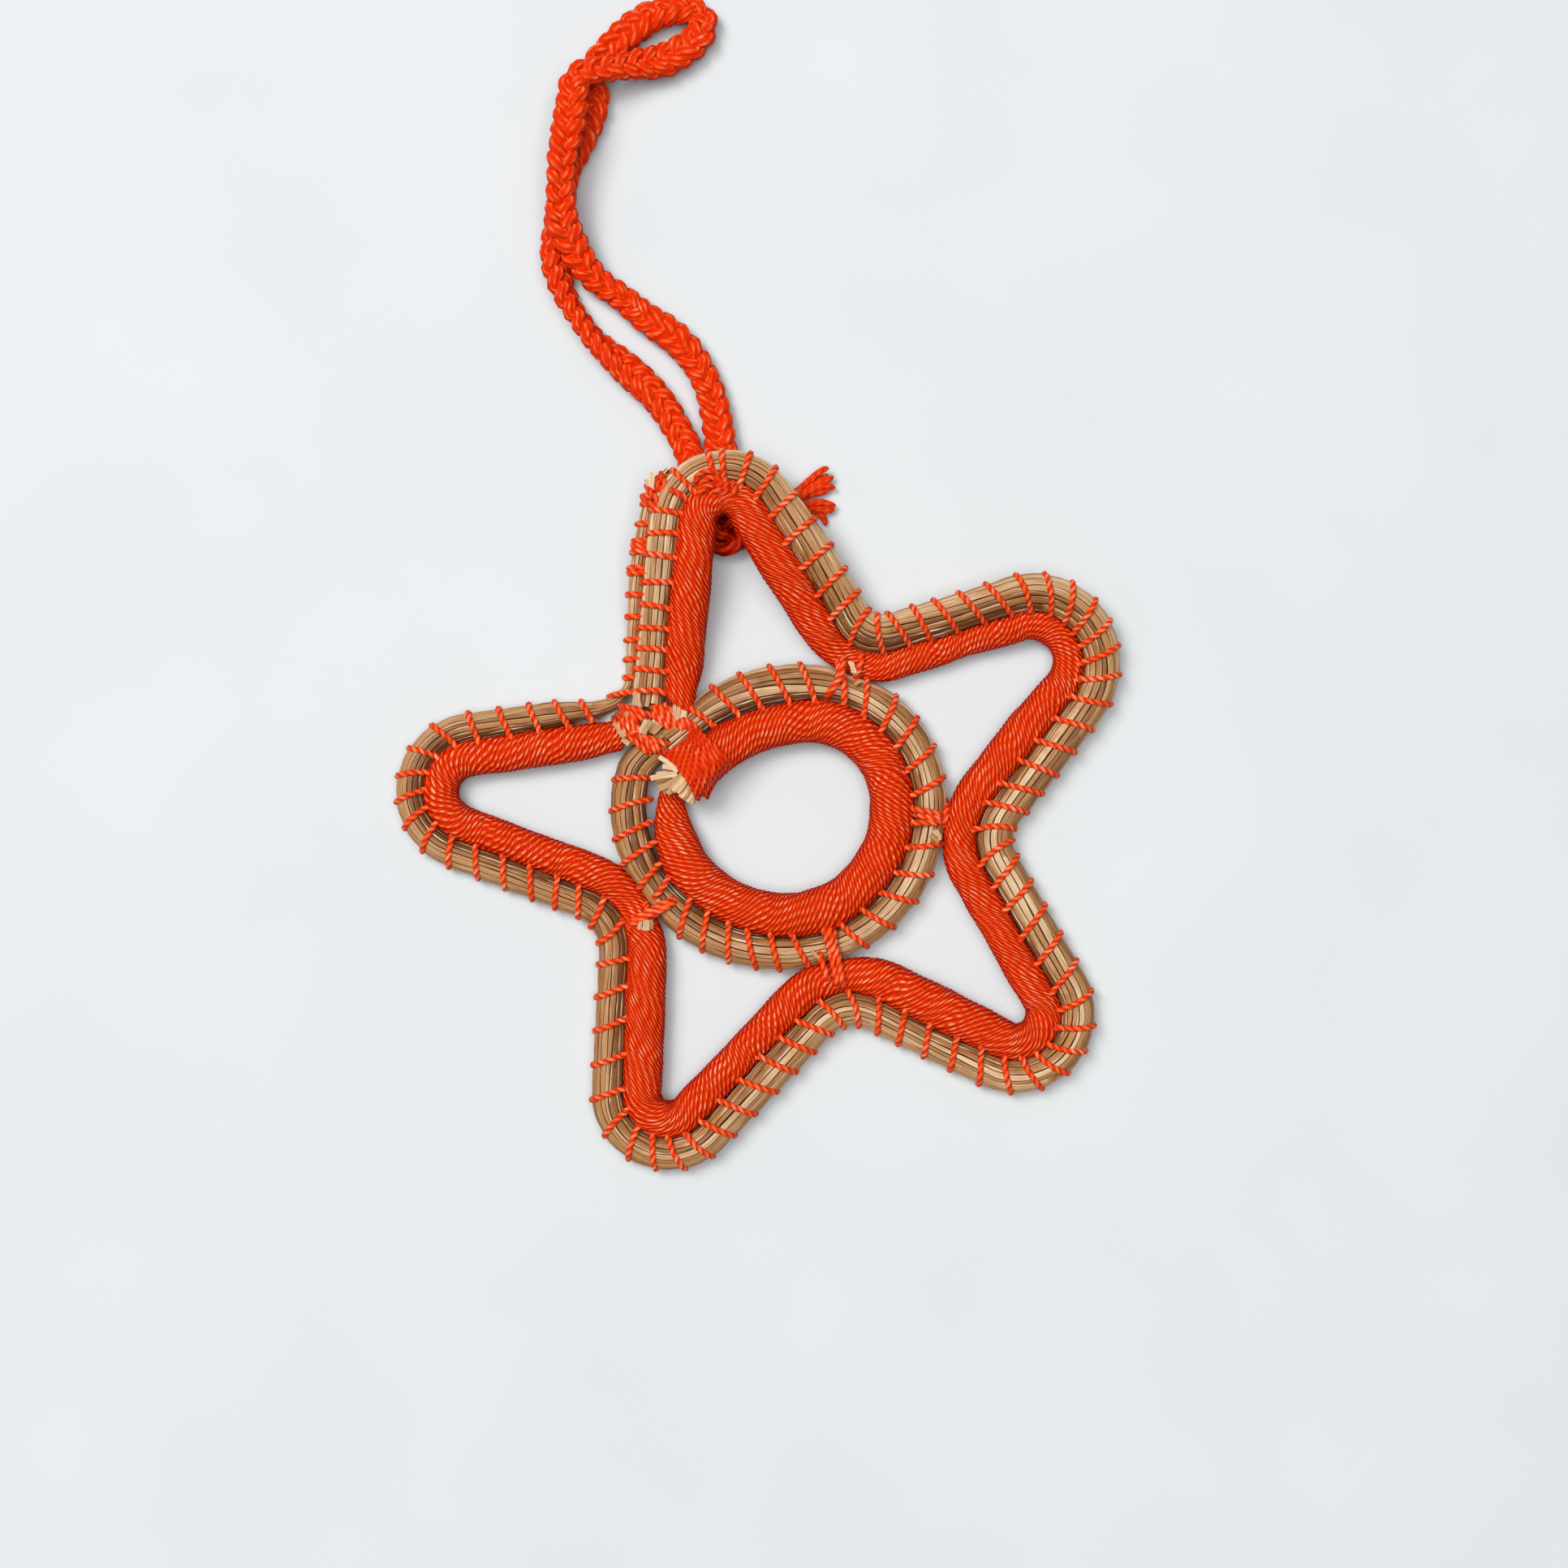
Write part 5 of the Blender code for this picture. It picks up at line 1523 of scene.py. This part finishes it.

# %% [markdown]
# ## Cut needles
# The bundle of the ring starts in a stub of needles cut short, which fans out of the first wraps, pale at
# the cut. A few more cut ends stick out at the ties. A needle is half round, flat on its inner face, so
# its section here has six points, and it narrows at both ends.

# %% Cut needle tubes
NEEDLE_SECTION = np.array([(-0.50, -0.12), (-0.36, 0.24), (0.0, 0.36), (0.36, 0.24), (0.50, -0.12),
                           (0.0, -0.22)])
# Shares of the way along a needle where its rows are, and its width there in shares
CUT_ROWS, CUT_WIDTHS = (0.0, 0.02, 0.33, 0.66, 0.98, 1.0), (0.55, 1.0, 1.0, 1.0, 0.97, 0.6)


def add_cut_needles(fabric, needles, width, seed):
    """Needles given as start and end points in millimetres, bent slightly, each with a width of its own."""
    chance = np.random.default_rng(seed)
    ends = MM * np.array(needles)
    share = np.array(CUT_ROWS)[None, :, None]
    path = ends[:, :1] * (1 - share) + ends[:, 1:] * share
    bow = np.sin(math.pi * share) * chance.uniform(-0.25, 0.25, (len(ends), 1, 3)) * MM
    path = path + bow
    path[..., :2] += SHIFT
    _, beside_it, over = crossed(path, np.array([0.0, 0.0, 1.0]))
    roll = chance.uniform(-0.6, 0.6, (len(ends), 1, 1)) + math.pi / 2
    size = width * chance.uniform(0.75, 1.2, (len(ends), 1, 1))
    size = size * np.array(CUT_WIDTHS)[None, :, None]
    u, v = NEEDLE_SECTION[:, 0] * size, NEEDLE_SECTION[:, 1] * size
    turned_u, turned_v = u * np.cos(roll) - v * np.sin(roll), u * np.sin(roll) + v * np.cos(roll)
    rings = round_paths(path, beside_it, over, turned_u, turned_v)
    tone = chance.uniform(0.55, 1.0, (len(ends), 1, 1))
    shape = rings.shape[:3]
    fabric.add(rings, tone=np.broadcast_to(tone, shape),
               across=np.broadcast_to(NEEDLE_SECTION[:, 0] + 0.5, shape),
               run=np.broadcast_to((run_along(path) / MM)[..., None], shape))


# %% [markdown]
# ### The stub and the cut ends
# Each needle is the place of its two ends in millimetres, the third number being its height.

# %% Cut needles
STUB_NEEDLES = (
    ((-17.6, 7.6, 8.2), (-20.8, 10.2, 8.0)), ((-17.6, 7.2, 8.0), (-22.2, 6.5, 8.2)),
    ((-17.2, 6.9, 7.2), (-21.4, 5.9, 7.0)), ((-17.8, 8.0, 7.4), (-20.2, 8.6, 7.6)),
    ((-16.6, 7.7, 8.5), (-19.0, 4.6, 8.6)), ((-16.2, 7.4, 8.6), (-18.3, 4.3, 8.6)),
    ((-16.9, 7.0, 8.3), (-20.9, 4.8, 8.2)), ((-16.6, 6.4, 7.4), (-20.1, 4.1, 7.0)),
    ((-15.7, 7.0, 8.6), (-17.6, 4.1, 8.5)), ((-15.4, 6.4, 8.3), (-17.1, 3.3, 8.2)),
    ((-15.0, 6.0, 8.4), (-16.6, 2.9, 8.0)), ((-14.6, 5.7, 8.2), (-16.0, 2.6, 7.8)),
    ((-14.2, 5.4, 7.8), (-15.4, 2.3, 7.4)), ((-13.9, 5.0, 7.4), (-14.9, 2.2, 6.9)),
    ((-15.6, 6.6, 6.4), (-19.0, 4.7, 5.8)), ((-15.0, 5.8, 6.0), (-17.6, 3.9, 5.4)),
    ((-16.6, 7.2, 5.6), (-20.4, 6.0, 5.2)), ((-14.6, 5.2, 5.4), (-16.4, 3.0, 5.0)),
    ((-16.9, 7.4, 6.4), (-21.3, 7.2, 6.2)), ((-15.9, 6.8, 7.4), (-19.4, 4.0, 7.6)),
)
LOOSE_BITS = (
    ((-18.7, 16.6, 5.0), (-18.2, 19.2, 4.4)), ((-18.0, 16.5, 5.1), (-17.5, 19.2, 4.4)),
    ((-17.3, 16.7, 5.0), (-16.9, 19.3, 4.4)), ((-16.7, 17.0, 4.8), (-16.3, 19.4, 4.2)),
    ((-24.1, 14.3, 6.2), (-22.9, 16.6, 6.4)), ((-23.5, 14.1, 6.3), (-22.3, 16.5, 6.3)),
    ((-28.7, 16.0, 5.4), (-27.7, 14.6, 5.8)), ((-28.0, 14.8, 5.6), (-26.7, 13.6, 6.0)),
    ((-27.2, 13.4, 5.4), (-26.0, 12.4, 5.4)), ((-26.5, 18.0, 4.8), (-25.2, 16.0, 5.2)),
    ((11.7, 26.6, 5.8), (12.4, 24.6, 6.1)), ((12.1, 26.5, 5.7), (12.8, 24.5, 5.9)),
    ((12.7, 22.5, 5.8), (13.7, 23.3, 5.5)), ((26.0, -2.4, 6.3), (27.4, -3.6, 6.4)),
    ((25.8, -3.2, 6.2), (27.0, -4.4, 6.4)), ((26.6, -2.2, 6.3), (27.3, -4.0, 6.5)),
    ((5.4, -23.0, 5.6), (6.6, -24.2, 5.8)), ((-23.9, -17.9, 6.5), (-24.0, -19.3, 6.0)),
    ((-23.3, -17.8, 6.7), (-23.4, -19.5, 6.2)), ((-22.8, -17.7, 6.7), (-22.8, -19.5, 6.2)),
    ((-22.3, -17.6, 6.6), (-22.2, -19.2, 6.0)), ((-23.2, 14.9, 5.0), (-21.6, 16.6, 5.0)),
    ((-22.6, 14.5, 5.1), (-21.0, 16.2, 5.1)), ((-22.0, 14.2, 5.0), (-20.4, 15.8, 5.0)),
    ((-25.1, 21.4, 5.9), (-24.7, 19.0, 5.5)), ((-24.4, 21.2, 5.9), (-24.1, 18.8, 5.5)),
    ((-22.1, 55.6, 8.0), (-21.9, 58.6, 8.3)), ((-22.3, 55.8, 7.8), (-23.0, 57.5, 8.0)),
)
stub = Fabric(*NEEDLE_MARKS)
add_cut_needles(stub, STUB_NEEDLES, 0.90 * MM, 41)
add_cut_needles(stub, LOOSE_BITS, 0.85 * MM, 42)
stub = stub.finish("cut_needle_stub", [dry_needles], 40)
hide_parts("ring_needle_stub")

# %% [markdown]
# ## The hanging cord
# Two facts settle a cord before its shape: it is a limp flat braid 5.4 mm wide, and the photograph shows
# nearly all of it, so its length is what the route measures. The ends behind the top arm, the stretch
# under the cord itself and every height are guesses. It leaves the knot behind the top arm, lies on the
# sheet, passes over itself in a long low hump, and comes back to the knot.

# %% Route of the cord
CORD_ROUTE = (
    (-9.4, 56.0, 2.6), (-10.0, 60.4, 2.5), (-10.4, 64.3, 2.5), (-11.5, 70.8, 2.5), (-13.1, 75.6, 2.5),
    (-15.7, 79.9, 2.5), (-19.2, 83.4, 2.5), (-23.4, 86.2, 2.5), (-27.6, 89.7, 2.5), (-31.8, 92.6, 2.9),
    (-34.6, 96.0, 4.0), (-36.4, 99.5, 5.4), (-37.5, 103.4, 6.8), (-37.4, 111.4, 7.8), (-36.7, 115.6, 7.8),
    (-35.7, 121.2, 7.6), (-35.0, 125.8, 7.6), (-32.5, 127.3, 7.4), (-29.0, 128.2, 6.2), (-24.8, 129.4, 4.2),
    (-20.6, 130.3, 2.9), (-17.1, 132.2, 2.5), (-14.3, 134.5, 2.5), (-13.3, 136.9, 2.5), (-14.6, 138.9, 2.5),
    (-18.5, 139.2, 2.5), (-22.7, 138.0, 2.5), (-26.2, 135.5, 2.5), (-29.0, 133.1, 2.5), (-31.8, 130.3, 2.5),
    (-32.8, 127.6, 2.5), (-32.0, 124.3, 2.5), (-33.2, 120.5, 2.5), (-35.1, 116.3, 2.5), (-37.1, 112.1, 2.5),
    (-37.8, 107.2, 2.5), (-38.4, 102.3, 2.5), (-39.1, 97.4, 2.5), (-38.6, 93.9, 2.5), (-37.1, 89.7, 2.5),
    (-35.0, 86.2, 2.5), (-32.5, 82.7, 2.5), (-28.7, 79.2, 2.5), (-24.8, 75.7, 2.5), (-21.3, 72.2, 2.5),
    (-18.5, 68.0, 2.5), (-16.3, 64.0, 2.5), (-15.0, 60.0, 2.5), (-14.6, 56.0, 2.6),
)


def set_down(points):
    """Points given in millimetres from the ring's middle, in metres in the set model."""
    return MM * np.asarray(points) + np.append(SHIFT, 0.0)


cord_line = spline_through(set_down(CORD_ROUTE), 0.5 * MM)
cord_run = run_along(cord_line[None])[0]
cord_length = cord_run[-1]
print("cord", round(cord_length * 1000), "mm")

# %% [markdown]
# ### A braid of three strands
# A flat braid of three strands is three waves: a strand swings from side to side once in each period, and
# rises and falls twice, and the three are a third of a period apart. Each strand is a few threads twisted
# together, so its surface is a close wrap as well and takes the same formula. The braid also rolls a
# little as it goes, and on its way down at the left it stands nearly on edge, so it looks narrower there.

# %% Strands
BRAID_PERIOD = 8.0 * MM
BRAID_SWING = 1.55 * MM
BRAID_RISE = 0.75 * MM
STRAND_RADIUS = 1.28 * MM
STRAND_THREADS = 6
STRAND_SIDES = 27
STRAND_PITCH = -12 * MM


def add_strands(fabric, path, radius, pitch, shaded=0.0):
    """Strands along path[strand, row], each a few threads wound once round it in every pitch.

    The surface of the threads is that of the wraps: `wrap` counts threads round the strand, `lay` counts
    twists along it, the other way round, so that the yarns end up nearly straight. The seam is beneath.
    """
    _, beside_it, over = crossed(path, np.cross([0.0, 0.0, 1.0], np.gradient(path, axis=1)))
    run = run_along(path)[..., None]
    around = np.radians(np.linspace(SEAM_FROM, SEAM_TO, STRAND_SIDES))
    wrap = STRAND_THREADS * (around / (2 * math.pi) + run / pitch)
    lay = run / WRAP_TWIST + 0.2 * np.arange(len(path))[:, None, None] + 0 * around
    reach = np.broadcast_to(radius, run.shape[:2])[..., None] * (
        1 - MESH_RELIEF * (1 - wrap_height(wrap, lay, np) / HIGHEST) * HIGHEST * MM / STRAND_RADIUS)
    rings = round_paths(path, beside_it, over, reach * np.cos(around), reach * np.sin(around))
    rings[..., 2] = np.maximum(rings[..., 2], THREAD_ABOVE_SHEET)
    # Painted shade: `facing_up` darkens the sides and underside, and `shaded` paints a whole piece darker.
    fabric.add(rings, wrap=wrap, lay=lay, facing_up=0.35 + 0.65 * np.sin(around) - shaded)


# %% [markdown]
# ### The braid along the cord
# The three waves are laid along the route, loosened and rolled a little by slow random waves. Before its
# far end the braid turns on edge for a stretch and back again.

# %% Braid
# Distances from the far end, over which the braid turns on edge and back flat
ON_EDGE_FROM, ON_EDGE_OVER = 62 * MM, 12 * MM
FLAT_AGAIN_FROM, FLAT_AGAIN_OVER = 20 * MM, 14 * MM
ON_EDGE_ROLL = 1.2

flat_side = to_the_right(np.gradient(cord_line, axis=0))
flat_side /= np.linalg.norm(flat_side, axis=1, keepdims=True)
swing = 2 * math.pi * cord_run / BRAID_PERIOD + 2 * math.pi * np.arange(3)[:, None] / 3
loosening = 1 + 0.16 * wander(cord_run, 1, 25 * MM, 51)
from_end = cord_length - cord_run
edgewise = smooth_step((ON_EDGE_FROM - from_end) / ON_EDGE_OVER)
edgewise = edgewise * smooth_step((from_end - FLAT_AGAIN_FROM) / FLAT_AGAIN_OVER)
roll = 0.7 * wander(cord_run, 1, 40 * MM, 52)[0] + ON_EDGE_ROLL * edgewise
aside, risen = BRAID_SWING * loosening * np.sin(swing), BRAID_RISE * np.sin(2 * swing)
strands = cord_line + (aside * np.cos(roll) - risen * np.sin(roll))[..., None] * flat_side
strands[..., 2] += aside * np.sin(roll) + risen * np.cos(roll)
braid = Fabric(*WRAP_MARKS)
add_strands(braid, strands, STRAND_RADIUS * loosening, STRAND_PITCH)
braid = braid.finish("hanging_braid", [coral_cord], 180)
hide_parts("hanger_cord")

# %% [markdown]
# ## The knot and its tails
# Behind the top arm the two ends are tied together. A trefoil is the simplest line that is truly knotted,
# and pressed flat it fills the knot's place. The two ends come out on the right and fray into yarns.

# %% Knot
KNOT_PLACE = (-8.6, 49.4, 2.3)
KNOT_SIZE = (10.0 * MM, 9.2 * MM, 4.4 * MM)
KNOT_STRAND = 1.1 * MM
# The knot lies in shadow under the top arm, so its colour is painted darker by this much: a painted shadow.
KNOT_SHADE = 0.8
lap = np.linspace(0, 2 * math.pi * 1.01, 120)
trefoil = np.stack([(2 + np.cos(3 * lap)) * np.cos(2 * lap) / 3,
                    (2 + np.cos(3 * lap)) * np.sin(2 * lap) / 3, np.sin(3 * lap)], axis=-1)
knot_line = trefoil * (np.array(KNOT_SIZE) / 2 - KNOT_STRAND) + set_down(KNOT_PLACE)
knot = Fabric(*WRAP_MARKS)
add_strands(knot, knot_line[None], STRAND_RADIUS, STRAND_PITCH, KNOT_SHADE)
knot = knot.finish("hanging_knot", [coral_cord], 180)
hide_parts("hanger_knot")

# %% [markdown]
# ### The frayed tails
# Each tail is a few bundles of yarns that leave the knot together and part at the cut, where they thin.

# %% Tails
TAILS = {
    "hanger_tail_upper": (
        ((-4.2, 51.2, 2.2), (-0.6, 54.0, 2.1), (2.7, 56.2, 2.0),
         (5.2, 58.3, 2.2), (7.3, 59.9, 2.4), (8.3, 60.1, 2.3)),
        ((-4.4, 50.8, 1.5), (-0.4, 53.7, 1.4), (3.1, 55.8, 1.6),
         (6.0, 57.6, 1.8), (8.3, 58.3, 1.7), (9.1, 58.9, 1.5)),
        ((-4.0, 50.6, 2.0), (0.0, 53.2, 2.0), (3.6, 55.4, 2.1),
         (6.4, 56.9, 2.0), (8.4, 57.1, 1.7), (9.4, 56.8, 1.5)),
        ((-4.0, 51.4, 1.2), (-0.2, 53.2, 1.0), (3.8, 55.2, 1.2),
         (6.0, 56.0, 1.4), (7.8, 56.4, 1.2), (8.6, 57.2, 1.0)),
        ((-4.2, 51.0, 1.2), (-0.6, 53.8, 1.0), (2.7, 56.0, 1.1),
         (5.0, 57.4, 1.2), (7.2, 58.6, 1.3), (8.2, 59.2, 1.0))),
    "hanger_tail_lower": (
        ((-3.9, 48.6, 2.2), (1.2, 51.8, 2.0), (4.8, 54.0, 1.9), (7.1, 54.3, 1.9), (9.5, 53.7, 1.6)),
        ((-3.7, 48.2, 1.5), (1.6, 51.2, 1.4), (5.2, 53.2, 1.5), (7.6, 52.9, 1.6), (9.3, 53.1, 1.4)),
        ((-3.9, 48.2, 1.2), (1.4, 50.6, 1.0), (5.0, 52.9, 1.0),
         (7.1, 52.2, 1.0), (7.9, 50.5, 0.9))),
}


TAIL_ROWS = 40
TAIL_RADIUS, TAIL_PITCH = 0.66 * MM, -22 * MM
# Shares of the way along a tail, and its thickness there in shares
TAIL_THICKNESS_AT, TAIL_THICKNESS = (0, 0.6, 0.85, 0.97, 1), (0.8, 0.9, 1.0, 0.8, 0.3)


def tail_paths(lines):
    """The yarn bundles of one tail, cut to the same number of rows."""
    paths = []
    for points in lines:
        fine = spline_through(set_down(points), 0.1 * MM)
        paths.append(fine[np.linspace(0, len(fine) - 1, TAIL_ROWS).astype(int)])
    return np.stack(paths)


for node, lines in TAILS.items():
    tail = Fabric(*WRAP_MARKS)
    paths = tail_paths(lines)
    thickness = np.interp(np.linspace(0, 1, TAIL_ROWS), TAIL_THICKNESS_AT, TAIL_THICKNESS)
    add_strands(tail, paths, TAIL_RADIUS * thickness, TAIL_PITCH)
    tail = tail.finish(node + "_frayed", [coral_cord], 180)
    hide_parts(node)
